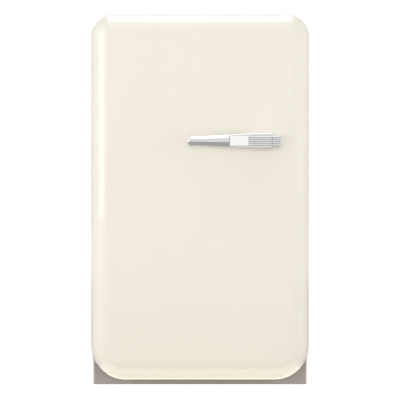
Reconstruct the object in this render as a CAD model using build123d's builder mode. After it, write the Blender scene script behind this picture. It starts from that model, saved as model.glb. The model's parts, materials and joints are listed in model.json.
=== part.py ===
from build123d import *
import os

# Compact retro refrigerator with an absorption cooling unit, in millimetres.
# +Z is up, the door faces -Y and +X is to the right of someone facing the door.
# The origin is under the middle of the whole object, on the floor.

# Overall size
WIDTH = 404.0
HEIGHT = 700.0
DEPTH = 520.0
GROUND_GAP = 5.0
SHEET = 1.2
LINER = 2.0

# Door
HANDLE_REACH = 31.0
DOOR_DEPTH = 65.0
DOOR_GAP = 10.0
DOOR_BOTTOM = 19.0
DOOR_TOP = 695.0
TOP_CORNER = 40.0
BOTTOM_CORNER = 63.0
EDGE_ROLL = 38.0
DYKE_HALF = 140.0
DYKE_WIDTH = 16.0
DYKE_DEPTH = 46.0
DYKE_BOTTOM = 84.0
DYKE_TOP = 646.0
DYKE_CORNER = 20.0
DYKE_INNER_CORNER = 6.0
GASKET_HALF = 170.0
GASKET_WIDTH = 14.0
GASKET_BOTTOM = 61.0
GASKET_TOP = 669.0
GASKET_FOOT = 4.0
GASKET_NECK = 2.0
NECK_MARGIN = 3.0
MAGNET_MARGIN = 1.0
SEAL_GAP = 0.5

# Hinge
HINGE_INSET = 18.0
HINGE_SETBACK = 24.0
HINGE_SHEET = 3.0
PIN_RADIUS = 4.0
RUNNING_GAP = 0.05
POCKET_WIDTH = 31.0
POCKET_DEPTH = 41.0
POCKET_TOP = 673.0
POCKET_BOTTOM = 50.0
BUSH_DEPTH = 15.0
BUSH_RADIUS = 8.0
BUSH_FLOOR = 2.0

# Cabinet
PLINTH_TOP = 58.0
PLINTH_DEPTH = 6.0
SIDE_HEM = 3.0
FRONT_RETURN = 12.0
REAR_RETURN = 10.0
CAVITY_HALF = 153.0
CAVITY_BOTTOM = 78.0
CAVITY_TOP = 652.0
CAVITY_DEPTH = 272.0
CAVITY_CORNER = 14.0
CAVITY_ROLL = 10.0
UNIT_RECESS = 88.0

# Inside
LEDGE_LEVELS = (170.0, 250.0, 325.0, 400.0)
LEDGE_REACH = 9.0
LEDGE_HEIGHT = 8.0
LEDGE_EDGE = 3.0
LEDGE_END_GAP = 6.0
SHELF_LEVELS = {"lower": 250.0, "upper": 400.0}
SHELF_HALF = 151.0
SHELF_FRONT = -68.0
SHELF_BACK = 110.0
GLASS = 4.0
BIN_LEVELS = {"lower": (102.0, 90.0), "middle": (300.0, 65.0), "upper": (470.0, 65.0)}
BIN_HALF = 120.5
BIN_REACH = 70.0
BIN_WALL = 2.0

# Handle: a tapered bar, a flared body with two inlays, and a narrower bracket
HANDLE_LEVEL = 459.4
HANDLE_TIP = -23.0
CAP_END = -18.0
BAR_END = 53.0
PAD_END = 88.0
BODY_END = 130.5
HANDLE_END = 148.0
TIP_RADIUS = 7.0
BAR_RADIUS = 10.6
BAR_THICKNESS = 13.0
CAP_TAPER = 1.5
BODY_LEFT_HEIGHT = 21.5
BODY_MIDDLE_HEIGHT = 26.0
BODY_RIGHT_HEIGHT = 27.5
BODY_EDGE = 1.2
INLAY_HEIGHT = 18.0
INLAY_DEPTH = 2.0
INLAY_GAP = 1.5
PAD_PROUD = 0.4
PAD_CORNER = 2.5
RIB_COUNT = 5
RIB_WIDTH = 1.9
RIB_RISE = 1.0
BRACKET_HEIGHT = 20.8
BRACKET_SETBACK = 3.0
BRACKET_RIB_RISE = 1.2
BRACKET_STRIP = 3.6
FOOT_INSET = 8.0
FOOT_SIZE = (14.0, 12.0)
FOOT_DROP = 2.5

# Cooling unit
TUBE = 8.0
PIPE_FLATS = 8
TUBE_BEND = 22.0
EXCHANGER_BEND = 18.0
BOILER_X = 118.0
BOILER_RADIUS = 30.0
BOILER_BOTTOM = 100.0
BOILER_TOP = 330.0
DOME = 8.0
FEED_X = -135.0
CONDENSER_LEVEL = 600.0
COIL_LEFT = -150.0
COIL_RIGHT = 60.0
COIL_TOP = 400.0
COIL_PITCH = 48.0
COIL_PASSES = 5
RETURN_X = 92.0
PIPE_LEVEL = 540.0
PIPE_POCKET = (-150.0, 108.0)
POCKET_HALF_HEIGHT = 20.0
PIPE_SETBACK = 15.0
PLATE_BLOCK_HALF = 60.0
TANK_LEVEL = 80.0
TANK_RADIUS = 28.0
TANK_ENDS = (-168.0, 64.0)
PIPE_SINK = 4.0

# Worked out from the sizes above
FRONT = -DEPTH / 2
REAR = DEPTH / 2
DOOR_FACE = FRONT + HANDLE_REACH
SKIN_BACK = DOOR_FACE + SHEET
DOOR_BACK = DOOR_FACE + DOOR_DEPTH
CABINET_FRONT = DOOR_BACK + DOOR_GAP
CAVITY_BACK = CABINET_FRONT + CAVITY_DEPTH
PANEL_Y = REAR - UNIT_RECESS
PANEL_FACE = PANEL_Y + SHEET
UNIT_Y = PANEL_FACE + 43.0
PIPE_DEPTH = CAVITY_BACK + LINER + PIPE_SETBACK
HINGE_X = -WIDTH / 2 + HINGE_INSET
HINGE_Y = DOOR_BACK - HINGE_SETBACK
PAN_BOTTOM = GROUND_GAP + 4.0
PAN_TOP = PAN_BOTTOM + SHEET
INNER_HALF = WIDTH / 2 - SHEET


def front_plane(y):
    """A plane facing the front: a positive extrusion goes towards -Y."""
    return Plane.XZ.offset(-y)


def side_plane(x):
    """A plane facing +X."""
    return Plane.YZ.offset(x)


def level(z):
    """A plane facing up."""
    return Plane.XY.offset(z)


def block(x, y, z, mode=Mode.ADD):
    """A rectangular block between two limits on each axis, in the running builder."""
    with Locations(((x[0] + x[1]) / 2, (y[0] + y[1]) / 2, (z[0] + z[1]) / 2)):
        Box(x[1] - x[0], y[1] - y[0], z[1] - z[0], mode=mode)


def outline(half, bottom, top, bottom_corner, top_corner):
    """A front view with its own corner radius at the bottom and at the top."""
    with BuildSketch() as view:
        with Locations((0, (bottom + top) / 2)):
            Rectangle(2 * half, top - bottom)
        if bottom_corner > 0:
            fillet(view.vertices().group_by(Axis.Y)[0], bottom_corner)
        fillet(view.vertices().group_by(Axis.Y)[-1], top_corner)
    return view.sketch


def door_outline(inset):
    """The door's front view, drawn in by a wall."""
    return outline(
        WIDTH / 2 - inset, DOOR_BOTTOM + inset, DOOR_TOP - inset, BOTTOM_CORNER - inset, TOP_CORNER - inset
    )


def cabinet_outline(inset, bottom):
    """The cabinet's front view, open downwards from the given height."""
    return outline(WIDTH / 2 - inset, bottom, HEIGHT - inset, 0, TOP_CORNER - inset)


def door_block(inset):
    """The door's body with its rolled front edge, drawn in by a wall."""
    with BuildPart() as body:
        with BuildSketch(front_plane(DOOR_BACK)):
            add(door_outline(inset))
        extrude(amount=DOOR_DEPTH - inset)
        fillet(body.faces().sort_by(Axis.Y)[0].edges(), EDGE_ROLL - inset)
    return body.part


def dyke_ring(inset):
    """The raised frame on the inner door, drawn in by a wall."""
    outer_width = 2 * (DYKE_HALF - inset)
    outer_height = DYKE_TOP - DYKE_BOTTOM - 2 * inset
    grow = 2 * (DYKE_WIDTH - 2 * inset)
    with BuildPart() as ring:
        with BuildSketch(front_plane(DOOR_BACK - LINER)):
            with Locations((0, (DYKE_BOTTOM + DYKE_TOP) / 2)):
                RectangleRounded(outer_width, outer_height, DYKE_CORNER - inset)
                corner = DYKE_INNER_CORNER + inset
                RectangleRounded(outer_width - grow, outer_height - grow, corner, mode=Mode.SUBTRACT)
        extrude(amount=-(DYKE_DEPTH + LINER - inset))
    return ring.part


def cavity(wall):
    """The cabinet's inner space, grown by a wall."""
    with BuildPart() as space:
        with BuildSketch(front_plane(CABINET_FRONT)):
            with Locations((0, (CAVITY_BOTTOM + CAVITY_TOP) / 2)):
                RectangleRounded(
                    2 * (CAVITY_HALF + wall), CAVITY_TOP - CAVITY_BOTTOM + 2 * wall, CAVITY_CORNER + wall
                )
        extrude(amount=-(CAVITY_DEPTH + wall))
        chamfer(space.faces().sort_by(Axis.Y)[-1].edges(), CAVITY_ROLL)
    return space.part


def tube(points, radius, bends):
    """A pipe along straight runs joined by tangent arcs, with flats for a light mesh."""
    with BuildLine() as route:
        FilletPolyline(*points, radius=bends)
    with BuildPart() as rod:
        for run in route.edges():
            with BuildSketch(Plane(origin=run @ 0, z_dir=run % 0)):
                RegularPolygon(radius, PIPE_FLATS, rotation=180 / PIPE_FLATS)
            if run.geom_type == GeomType.LINE:
                extrude(amount=run.length)
            else:
                turn = (run % 0).cross(run % 1)
                revolve(axis=Axis(run.arc_center, turn), revolution_arc=(run % 0).get_angle(run % 1))
    return rod.part


# Hinge pockets: the notch in the door's corner, and the moulded cup that lines it.
POCKET_X = (-WIDTH / 2 - 1, -WIDTH / 2 + POCKET_WIDTH)
POCKET_Y = (DOOR_BACK - POCKET_DEPTH, DOOR_BACK + 1)
POCKETS = {"top": (POCKET_TOP, HEIGHT, -1), "bottom": (0.0, POCKET_BOTTOM, 1)}
door_outer = door_block(0)
door_inner = door_block(SHEET)


def pocket(name, wall):
    """The notch at one end of the hinge line, grown by a wall."""
    low, high, into_door = POCKETS[name]
    if into_door < 0:
        low -= wall
    else:
        high += wall
    with BuildPart() as notch:
        block((POCKET_X[0], POCKET_X[1] + wall), (POCKET_Y[0] - wall, POCKET_Y[1]), (low, high))
    return notch.part


def bush_boss(name, radius, depth):
    """A round boss that runs into the door from a pocket's floor."""
    low, high, into_door = POCKETS[name]
    floor = low if into_door < 0 else high
    with BuildPart() as boss:
        with BuildSketch(level(floor)):
            with Locations((HINGE_X, HINGE_Y)):
                Circle(radius)
        extrude(amount=into_door * depth)
    return boss.part


def hinge_bush(name):
    """The moulded cup and bush in one corner of the door."""
    with BuildPart() as cup:
        add(pocket(name, LINER))
        add(door_outer, mode=Mode.INTERSECT)
        add(bush_boss(name, BUSH_RADIUS, BUSH_DEPTH + BUSH_FLOOR))
        add(pocket(name, 0), mode=Mode.SUBTRACT)
        add(bush_boss(name, PIN_RADIUS + RUNNING_GAP, BUSH_DEPTH), mode=Mode.SUBTRACT)
    cup.part.label = f"hinge_bush_{name}"
    return cup


hinge_bushes = [hinge_bush(name) for name in POCKETS]
bush_spaces = [pocket(name, LINER) for name in POCKETS] + [
    bush_boss(name, BUSH_RADIUS, BUSH_DEPTH + BUSH_FLOOR) for name in POCKETS
]

# Handle: fixing points shared by the door and the pull.
FOOT_X = HANDLE_TIP + FOOT_INSET
BLOCK_X = (PAD_END + BODY_END) / 2
SCREW_X = (FOOT_X, BLOCK_X)
SCREW_RADIUS = 2.5
SCREW_HEAD = 3.0
SCREW_SLACK = 0.1
SCREW_HEAD_RADIUS = 4.5
SCREW_HEAD_SLACK = 0.5
BODY_FRONT = FRONT + RIB_RISE
BAR_BACK = BODY_FRONT + BAR_THICKNESS


def handle_fixings(radius, near, far):
    """Round rods on the handle's fixing lines, between two depths."""
    with BuildPart() as rods:
        with BuildSketch(front_plane(far)):
            with Locations(*[(x, HANDLE_LEVEL) for x in SCREW_X]):
                Circle(radius)
        extrude(amount=far - near)
    return rods.part


screw_holes = handle_fixings(SCREW_RADIUS + SCREW_SLACK, FRONT, SKIN_BACK)
screw_heads = handle_fixings(SCREW_HEAD_RADIUS + SCREW_HEAD_SLACK, SKIN_BACK, SKIN_BACK + SCREW_HEAD)

# Door pieces
with BuildPart() as door_skin:
    add(door_outer)
    add(door_inner, mode=Mode.SUBTRACT)
    add(bush_spaces, mode=Mode.SUBTRACT)
    add(screw_holes, mode=Mode.SUBTRACT)
door_skin.part.label = "door_skin"

with BuildPart() as door_foam:
    add(door_inner)
    block((-WIDTH, WIDTH), (DOOR_BACK - LINER, DOOR_BACK + 1), (0, HEIGHT), mode=Mode.SUBTRACT)
    add(dyke_ring(LINER))
    add(bush_spaces, mode=Mode.SUBTRACT)
    add(screw_heads, mode=Mode.SUBTRACT)
door_foam.part.label = "door_foam"

BIN_RIM = 9.0
LUG_HALF = 5.0
LUG_REACH = 3.0
LUG_HEIGHT = 14.0
LUG_Y = DOOR_BACK + 28.0
DYKE_INSIDE = DYKE_HALF - DYKE_WIDTH

with BuildPart() as door_liner:
    with BuildSketch(front_plane(DOOR_BACK)):
        add(door_outline(SHEET))
    extrude(amount=LINER)
    add(dyke_ring(0))
    add(dyke_ring(LINER), mode=Mode.SUBTRACT)
    for bottom, height in BIN_LEVELS.values():
        lug_top = bottom + height - BIN_RIM / 2
        for side in (-1, 1):
            ends = sorted((side * DYKE_INSIDE, side * (DYKE_INSIDE - LUG_REACH)))
            block(ends, (LUG_Y - LUG_HALF, LUG_Y + LUG_HALF), (lug_top - LUG_HEIGHT, lug_top))
    add(bush_spaces, mode=Mode.SUBTRACT)
door_liner.part.label = "door_liner"


def gasket_layer(margin):
    """One layer of the seal, whose strips meet in welded square corners."""
    height = GASKET_TOP - GASKET_BOTTOM
    inner = GASKET_WIDTH - margin
    with BuildSketch() as ring:
        with Locations((0, (GASKET_BOTTOM + GASKET_TOP) / 2)):
            Rectangle(2 * (GASKET_HALF - margin), height - 2 * margin)
            Rectangle(2 * (GASKET_HALF - inner), height - 2 * inner, mode=Mode.SUBTRACT)
    return ring.sketch


with BuildPart() as door_gasket:
    with BuildSketch(front_plane(DOOR_BACK + GASKET_FOOT)):
        add(gasket_layer(0))
    extrude(amount=GASKET_FOOT)
    with BuildSketch(front_plane(DOOR_BACK + GASKET_FOOT + GASKET_NECK)):
        add(gasket_layer(NECK_MARGIN))
    extrude(amount=GASKET_NECK)
    with BuildSketch(front_plane(CABINET_FRONT - SEAL_GAP)):
        add(gasket_layer(MAGNET_MARGIN))
    extrude(amount=DOOR_GAP - SEAL_GAP - GASKET_FOOT - GASKET_NECK)
door_gasket.part.label = "door_gasket"

BIN_CORNER = 10.0
BIN_CHAMFER = 3.0
BIN_GAP = 0.5
HOOK_HALF = 14.0
HOOK_SLACK = 0.4
HOOK_LIFT = 0.1


def door_bin(name):
    """A lift-out door shelf: an open tray whose rim hooks over a lug on each dyke."""
    bottom, height = BIN_LEVELS[name]
    near = DOOR_BACK + BIN_GAP
    rim_top = bottom + height
    rim_bottom = rim_top - BIN_RIM
    with BuildPart() as tray:
        with BuildSketch(level(bottom)):
            with Locations((0, near + BIN_REACH / 2)):
                RectangleRounded(2 * BIN_HALF, BIN_REACH, BIN_CORNER)
        extrude(amount=height)
        chamfer(tray.faces().sort_by(Axis.Z)[0].edges(), BIN_CHAMFER)
        offset(amount=-BIN_WALL, openings=tray.faces().sort_by(Axis.Z)[-1])
        for side in (-1, 1):
            hook = sorted((side * (BIN_HALF - BIN_WALL / 2), side * (DYKE_INSIDE - BIN_GAP)))
            notch = sorted((side * BIN_HALF, side * DYKE_INSIDE))
            notch_y = (LUG_Y - LUG_HALF - HOOK_SLACK, LUG_Y + LUG_HALF + HOOK_SLACK)
            notch_z = (rim_bottom, rim_top - BIN_RIM / 2 + HOOK_LIFT)
            block(hook, (LUG_Y - HOOK_HALF, LUG_Y + HOOK_HALF), (rim_bottom, rim_top))
            block(notch, notch_y, notch_z, mode=Mode.SUBTRACT)
    tray.part.label = f"door_bin_{name}"
    return tray


door_bins = [door_bin(name) for name in BIN_LEVELS]


# Handle pieces
BAR_AXIS = BODY_FRONT + BAR_RADIUS


def turned_bar(start, end, start_radius, end_radius):
    """A round taper along the handle's axis, with a flat back."""
    with BuildPart() as rod:
        with BuildSketch(level(HANDLE_LEVEL)):
            with BuildLine():
                Polyline(
                    (start, BAR_AXIS), (end, BAR_AXIS),
                    (end, BAR_AXIS - end_radius), (start, BAR_AXIS - start_radius), close=True,
                )
            make_face()
        revolve(axis=Axis((0, BAR_AXIS, HANDLE_LEVEL), (1, 0, 0)))
        block((start, end), (BAR_BACK, DOOR_FACE), (0, HEIGHT), mode=Mode.SUBTRACT)
    return rod.part


def body_outline():
    """The body in front view: it flares out, then runs on almost straight."""
    heights = ((BAR_END, BODY_LEFT_HEIGHT), (PAD_END, BODY_MIDDLE_HEIGHT), (BODY_END, BODY_RIGHT_HEIGHT))
    upper = [(x, HANDLE_LEVEL + height / 2) for x, height in heights]
    lower = [(x, HANDLE_LEVEL - height / 2) for x, height in reversed(heights)]
    with BuildSketch() as plate:
        with BuildLine():
            Polyline(*upper, *lower, close=True)
        make_face()
    return plate.sketch


def inlay_outline(start, end):
    """A stretch of the recess in the body's front."""
    with BuildSketch() as strip:
        with Locations(((start + end) / 2, HANDLE_LEVEL)):
            Rectangle(end - start, INLAY_HEIGHT)
    return strip.sketch


def rib_row(start, end, face, rise):
    """Rounded ribs that run along the handle and stand proud of a face."""
    with BuildPart() as row:
        with BuildSketch(side_plane(start)):
            with Locations((face, HANDLE_LEVEL)):
                with GridLocations(0, INLAY_HEIGHT / RIB_COUNT, 1, RIB_COUNT):
                    SlotOverall(2 * rise, RIB_WIDTH)
        extrude(amount=end - start)
    return row.part


with BuildPart() as handle_bar:
    add(turned_bar(CAP_END, BAR_END, TIP_RADIUS, BAR_RADIUS))
handle_bar.part.label = "handle_bar"

with BuildPart() as handle_cap:
    add(turned_bar(HANDLE_TIP, CAP_END, TIP_RADIUS - CAP_TAPER, TIP_RADIUS))
handle_cap.part.label = "handle_cap"

with BuildPart() as handle_pad:
    with BuildSketch(front_plane(BODY_FRONT + INLAY_DEPTH)) as pad_outline:
        add(inlay_outline(BAR_END + INLAY_GAP, PAD_END))
        fillet(pad_outline.vertices().group_by(Axis.X)[0], PAD_CORNER)
    extrude(amount=INLAY_DEPTH + PAD_PROUD)
    chamfer(handle_pad.faces().sort_by(Axis.Y)[0].edges(), PAD_PROUD)
handle_pad.part.label = "handle_pad"

with BuildPart() as handle_ribs:
    with BuildSketch(front_plane(BODY_FRONT + INLAY_DEPTH)):
        add(inlay_outline(PAD_END, BODY_END))
    extrude(amount=INLAY_DEPTH)
    add(rib_row(PAD_END, BODY_END, BODY_FRONT, RIB_RISE))
handle_ribs.part.label = "handle_ribs"

with BuildPart() as handle_body:
    with BuildSketch(front_plane(DOOR_FACE)):
        add(body_outline())
    extrude(amount=DOOR_FACE - BODY_FRONT)
    block((0, PAD_END), (BAR_BACK, DOOR_FACE), (0, HEIGHT), mode=Mode.SUBTRACT)
    chamfer(handle_body.faces().sort_by(Axis.Y)[0].edges(), BODY_EDGE)
    with BuildSketch(front_plane(BODY_FRONT + INLAY_DEPTH)):
        add(inlay_outline(BAR_END + INLAY_GAP, BODY_END))
    extrude(amount=INLAY_DEPTH, mode=Mode.SUBTRACT)
    add(handle_fixings(SCREW_RADIUS, BAR_BACK, DOOR_FACE), mode=Mode.SUBTRACT)
handle_body.part.label = "handle_body"

BRACKET_FACE = BODY_FRONT + BRACKET_SETBACK
with BuildPart() as handle_bracket:
    with BuildSketch(front_plane(DOOR_FACE)):
        with Locations(((BODY_END + HANDLE_END) / 2, HANDLE_LEVEL)):
            Rectangle(HANDLE_END - BODY_END, BRACKET_HEIGHT)
    extrude(amount=DOOR_FACE - BRACKET_FACE)
    add(rib_row(BODY_END, HANDLE_END - BRACKET_STRIP, BRACKET_FACE, BRACKET_RIB_RISE))
handle_bracket.part.label = "handle_bracket"

with BuildPart() as handle_foot:
    with BuildSketch(front_plane(DOOR_FACE)):
        with Locations((FOOT_X, HANDLE_LEVEL - FOOT_DROP)):
            SlotOverall(*FOOT_SIZE)
    extrude(amount=DOOR_FACE - BAR_BACK)
    add(handle_fixings(SCREW_RADIUS, BAR_BACK, DOOR_FACE), mode=Mode.SUBTRACT)
handle_foot.part.label = "handle_foot"

with BuildPart() as handle_screws:
    add(handle_fixings(SCREW_RADIUS, BAR_BACK, SKIN_BACK + SCREW_HEAD))
    add(handle_fixings(SCREW_HEAD_RADIUS, SKIN_BACK, SKIN_BACK + SCREW_HEAD))
handle_screws.part.label = "handle_screws"

# Hinges on the cabinet
FLANGE_X = (HINGE_X - 6.0, HINGE_X + 10.0)
FLANGE_MIDDLE = (FLANGE_X[0] + FLANGE_X[1]) / 2
FLANGE_WIDTH = FLANGE_X[1] - FLANGE_X[0]
FLANGE_DROP = 36.0
PLATE_GAP = 0.5
PIN_END_GAP = 1.0
HINGE_SCREW_RADIUS = 2.5
HINGE_SCREW_STEP = 10.0
HINGE_SCREW_DEPTH = 12.0
HINGE_SCREW_SUNK = 0.5


def flange_span(name):
    """The heights of a hinge's plate and of the flange that carries it."""
    low, high, into_door = POCKETS[name]
    if into_door < 0:
        plate = (low + PLATE_GAP, low + PLATE_GAP + HINGE_SHEET)
        return plate, (plate[1] - FLANGE_DROP, plate[1])
    plate = (high - PLATE_GAP - HINGE_SHEET, high - PLATE_GAP)
    return plate, (plate[0], plate[0] + FLANGE_DROP)


def hinge_screw_levels(name):
    """The heights of a hinge's two fixing screws."""
    flange = flange_span(name)[1]
    middle = (flange[0] + flange[1]) / 2
    return (middle - HINGE_SCREW_STEP, middle + HINGE_SCREW_STEP)


def hinge_plate(name):
    """A bent plate: a flange on the cabinet's front and a tongue that holds the pin."""
    plate, flange = flange_span(name)
    with BuildPart() as bent:
        block(FLANGE_X, (CABINET_FRONT - HINGE_SHEET, CABINET_FRONT), flange)
        with BuildSketch(level(plate[0])):
            with Locations((FLANGE_MIDDLE, (HINGE_Y + CABINET_FRONT) / 2)):
                Rectangle(FLANGE_WIDTH, CABINET_FRONT - HINGE_Y)
            with Locations((FLANGE_MIDDLE, HINGE_Y)):
                Circle(FLANGE_WIDTH / 2)
        extrude(amount=HINGE_SHEET)
        with BuildSketch(level(plate[0])):
            with Locations((HINGE_X, HINGE_Y)):
                Circle(PIN_RADIUS)
        extrude(amount=HINGE_SHEET, mode=Mode.SUBTRACT)
        for height in hinge_screw_levels(name):
            with BuildSketch(front_plane(CABINET_FRONT)):
                with Locations((FLANGE_MIDDLE, height)):
                    Circle(HINGE_SCREW_RADIUS)
            extrude(amount=HINGE_SHEET, mode=Mode.SUBTRACT)
    bent.part.label = f"hinge_plate_{name}"
    return bent


hinge_plates = [hinge_plate(name) for name in POCKETS]

with BuildPart() as hinge_pins:
    for name, (_, _, into_door) in POCKETS.items():
        plate = flange_span(name)[0]
        start = plate[1] if into_door < 0 else plate[0]
        with BuildSketch(level(start)):
            with Locations((HINGE_X, HINGE_Y)):
                Circle(PIN_RADIUS)
        extrude(amount=into_door * (HINGE_SHEET + BUSH_DEPTH - PIN_END_GAP))
hinge_pins.part.label = "hinge_pins"

with BuildPart() as hinge_screws:
    for name in POCKETS:
        with BuildSketch(front_plane(CABINET_FRONT + HINGE_SCREW_DEPTH)):
            with Locations(*[(FLANGE_MIDDLE, height) for height in hinge_screw_levels(name)]):
                Circle(HINGE_SCREW_RADIUS)
        extrude(amount=HINGE_SCREW_DEPTH + HINGE_SHEET - HINGE_SCREW_SUNK)
hinge_screws.part.label = "hinge_screws"

# Cooling unit, defined before the cabinet because its pipes pass through the insulation
feed_path = [
    (BOILER_X, UNIT_Y, BOILER_TOP),
    (BOILER_X, UNIT_Y, CONDENSER_LEVEL),
    (FEED_X, UNIT_Y, CONDENSER_LEVEL),
    (FEED_X, UNIT_Y, PIPE_LEVEL),
    (FEED_X, PIPE_DEPTH, PIPE_LEVEL),
    (-PLATE_BLOCK_HALF, PIPE_DEPTH, PIPE_LEVEL),
]
coil_path = [
    (PLATE_BLOCK_HALF, PIPE_DEPTH, PIPE_LEVEL),
    (RETURN_X, PIPE_DEPTH, PIPE_LEVEL),
    (RETURN_X, UNIT_Y, PIPE_LEVEL),
    (RETURN_X, UNIT_Y, COIL_TOP),
]
for turn in range(COIL_PASSES):
    end = COIL_LEFT if turn % 2 == 0 else COIL_RIGHT
    height = COIL_TOP - turn * COIL_PITCH
    coil_path.append((end, UNIT_Y, height))
    if turn < COIL_PASSES - 1:
        coil_path.append((end, UNIT_Y, height - COIL_PITCH))
coil_path.append((COIL_LEFT, UNIT_Y, TANK_LEVEL + TANK_RADIUS - PIPE_SINK))
feed_rod = tube(feed_path, TUBE, TUBE_BEND)
coil_rod = tube(coil_path, TUBE, TUBE_BEND)
exchanger_path = [
    (TANK_ENDS[1], UNIT_Y, TANK_LEVEL),
    (BOILER_X, UNIT_Y, TANK_LEVEL),
    (BOILER_X, UNIT_Y, BOILER_BOTTOM),
]
exchanger_rod = tube(exchanger_path, TUBE, EXCHANGER_BEND)

with BuildPart() as boiler:
    with BuildSketch(level(BOILER_BOTTOM)):
        with Locations((BOILER_X, UNIT_Y)):
            Circle(BOILER_RADIUS)
    extrude(amount=BOILER_TOP - BOILER_BOTTOM)
    chamfer(boiler.edges().group_by(Axis.Z)[-1], DOME)
boiler.part.label = "boiler"

with BuildPart() as absorber_tank:
    with BuildSketch(side_plane(TANK_ENDS[0])):
        with Locations((UNIT_Y, TANK_LEVEL)):
            Circle(TANK_RADIUS)
    extrude(amount=TANK_ENDS[1] - TANK_ENDS[0])
    chamfer(absorber_tank.edges().filter_by(GeomType.CIRCLE), DOME)
absorber_tank.part.label = "absorber_tank"

with BuildPart() as condenser_tube:
    add(feed_rod)
condenser_tube.part.label = "condenser_tube"

with BuildPart() as absorber_coil:
    add(coil_rod)
    add(absorber_tank.part, mode=Mode.SUBTRACT)
absorber_coil.part.label = "absorber_coil"

with BuildPart() as heat_exchanger_tube:
    add(exchanger_rod)
    add(absorber_tank.part, mode=Mode.SUBTRACT)
heat_exchanger_tube.part.label = "heat_exchanger_tube"

FIN_COUNT = 14
FIN_START = -94.0
FIN_PITCH = 12.5
FIN_THICKNESS = 0.8
FIN_SIZE = (50.0, 64.0)
with BuildPart() as condenser_fins:
    for number in range(FIN_COUNT):
        with BuildSketch(side_plane(FIN_START + number * FIN_PITCH)):
            with Locations((UNIT_Y, CONDENSER_LEVEL)):
                Rectangle(*FIN_SIZE)
        extrude(amount=FIN_THICKNESS)
    add(feed_rod, mode=Mode.SUBTRACT)
condenser_fins.part.label = "condenser_fins"

BRACKET_X = (-104.0, 16.0)
BRACKET_Z = (190.0, 420.0)
BRACKET_HALF = 14.0
BRACKET_SHEET = 2.0
with BuildPart() as unit_brackets:
    for x in BRACKET_X:
        web = (x - BRACKET_SHEET / 2, x + BRACKET_SHEET / 2)
        block((x - BRACKET_HALF, x + BRACKET_HALF), (PANEL_FACE, PANEL_FACE + BRACKET_SHEET), BRACKET_Z)
        block(web, (PANEL_FACE, UNIT_Y + BRACKET_SHEET), BRACKET_Z)
    add(coil_rod, mode=Mode.SUBTRACT)
unit_brackets.part.label = "unit_brackets"

CLAMP_LEVEL = 280.0
CLAMP_WIDTH = 16.0
CLAMP_BAND = 2.0
with BuildPart() as boiler_clamp:
    with BuildSketch(level(CLAMP_LEVEL)):
        with Locations((BOILER_X, UNIT_Y)):
            Circle(BOILER_RADIUS + CLAMP_BAND)
        with Locations((BOILER_X, (PANEL_FACE + UNIT_Y) / 2)):
            Rectangle(CLAMP_WIDTH, UNIT_Y - PANEL_FACE)
    extrude(amount=CLAMP_WIDTH)
    add(boiler.part, mode=Mode.SUBTRACT)
boiler_clamp.part.label = "boiler_clamp"

CARTRIDGE_RADIUS = 6.0
CARTRIDGE_OFFSET = 19.0
CARTRIDGE_LENGTH = 26.0
with BuildPart() as heater_cartridge:
    with BuildSketch(level(BOILER_BOTTOM - CARTRIDGE_LENGTH)):
        with Locations((BOILER_X + CARTRIDGE_OFFSET, UNIT_Y)):
            Circle(CARTRIDGE_RADIUS)
    extrude(amount=CARTRIDGE_LENGTH)
heater_cartridge.part.label = "heater_cartridge"

TERMINAL_X = 174.0
TERMINAL_SIZE = (34.0, 56.0)
TERMINAL_DEPTH = 32.0
TERMINAL_CORNER = 4.0
TERMINAL_EDGE = 2.0
GLAND_TOP = 57.0
with BuildPart() as terminal_box:
    with BuildSketch(front_plane(PANEL_FACE)):
        with Locations((TERMINAL_X, GLAND_TOP + TERMINAL_SIZE[1] / 2)):
            RectangleRounded(*TERMINAL_SIZE, TERMINAL_CORNER)
    extrude(amount=-TERMINAL_DEPTH)
    chamfer(terminal_box.faces().sort_by(Axis.Y)[-1].edges(), TERMINAL_EDGE)
terminal_box.part.label = "terminal_box"

GLAND_FLANGE = (8.0, 4.0)
GLAND_BODY = (6.0, 16.0)
CORD_HOLE = 3.0
with BuildPart() as cord_gland:
    top = GLAND_TOP
    for radius, length in (GLAND_FLANGE, GLAND_BODY):
        with BuildSketch(level(top)):
            with Locations((TERMINAL_X, PANEL_FACE + TERMINAL_DEPTH / 2)):
                Circle(radius)
                Circle(CORD_HOLE, mode=Mode.SUBTRACT)
        extrude(amount=-length)
        top -= length
cord_gland.part.label = "cord_gland"

# Cabinet pieces
FOOT_INSET_X = 160.0
FOOT_FRONT_Y = CABINET_FRONT + 60.0
FOOT_REAR_Y = PANEL_Y - 30.0
FOOT_RADIUS = 15.0
FOOT_PAD = 4.0
STUD_LENGTH = 24.0
BOSS_RADIUS = 8.0
BOSS_END = 2.0
FOOT_SIDES = 12
HEXAGON_RADIUS = 12.0
STUD_START = PAN_BOTTOM - 1.0
FRONT_FEET = ((-FOOT_INSET_X, FOOT_FRONT_Y), (FOOT_INSET_X, FOOT_FRONT_Y))
REAR_FEET = ((-FOOT_INSET_X, FOOT_REAR_Y), (FOOT_INSET_X, FOOT_REAR_Y))
cavity_space = cavity(0)
cavity_shell = cavity(LINER)

with BuildPart() as cabinet_wrapper:
    with BuildSketch(front_plane(REAR)):
        add(cabinet_outline(0, GROUND_GAP))
        add(cabinet_outline(SHEET, GROUND_GAP - 1), mode=Mode.SUBTRACT)
    extrude(amount=REAR - CABINET_FRONT)
    with BuildSketch(front_plane(CABINET_FRONT + SHEET)):
        add(cabinet_outline(0, GROUND_GAP))
        add(cabinet_outline(FRONT_RETURN, PLINTH_TOP), mode=Mode.SUBTRACT)
        with Locations((0, PLINTH_TOP / 2)):
            Rectangle(WIDTH - 2 * SIDE_HEM, PLINTH_TOP, mode=Mode.SUBTRACT)
    extrude(amount=SHEET)
    with BuildSketch(front_plane(REAR)):
        add(cabinet_outline(0, GROUND_GAP))
        add(cabinet_outline(REAR_RETURN, GROUND_GAP - 1), mode=Mode.SUBTRACT)
    extrude(amount=SHEET)
cabinet_wrapper.part.label = "cabinet_wrapper"

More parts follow.
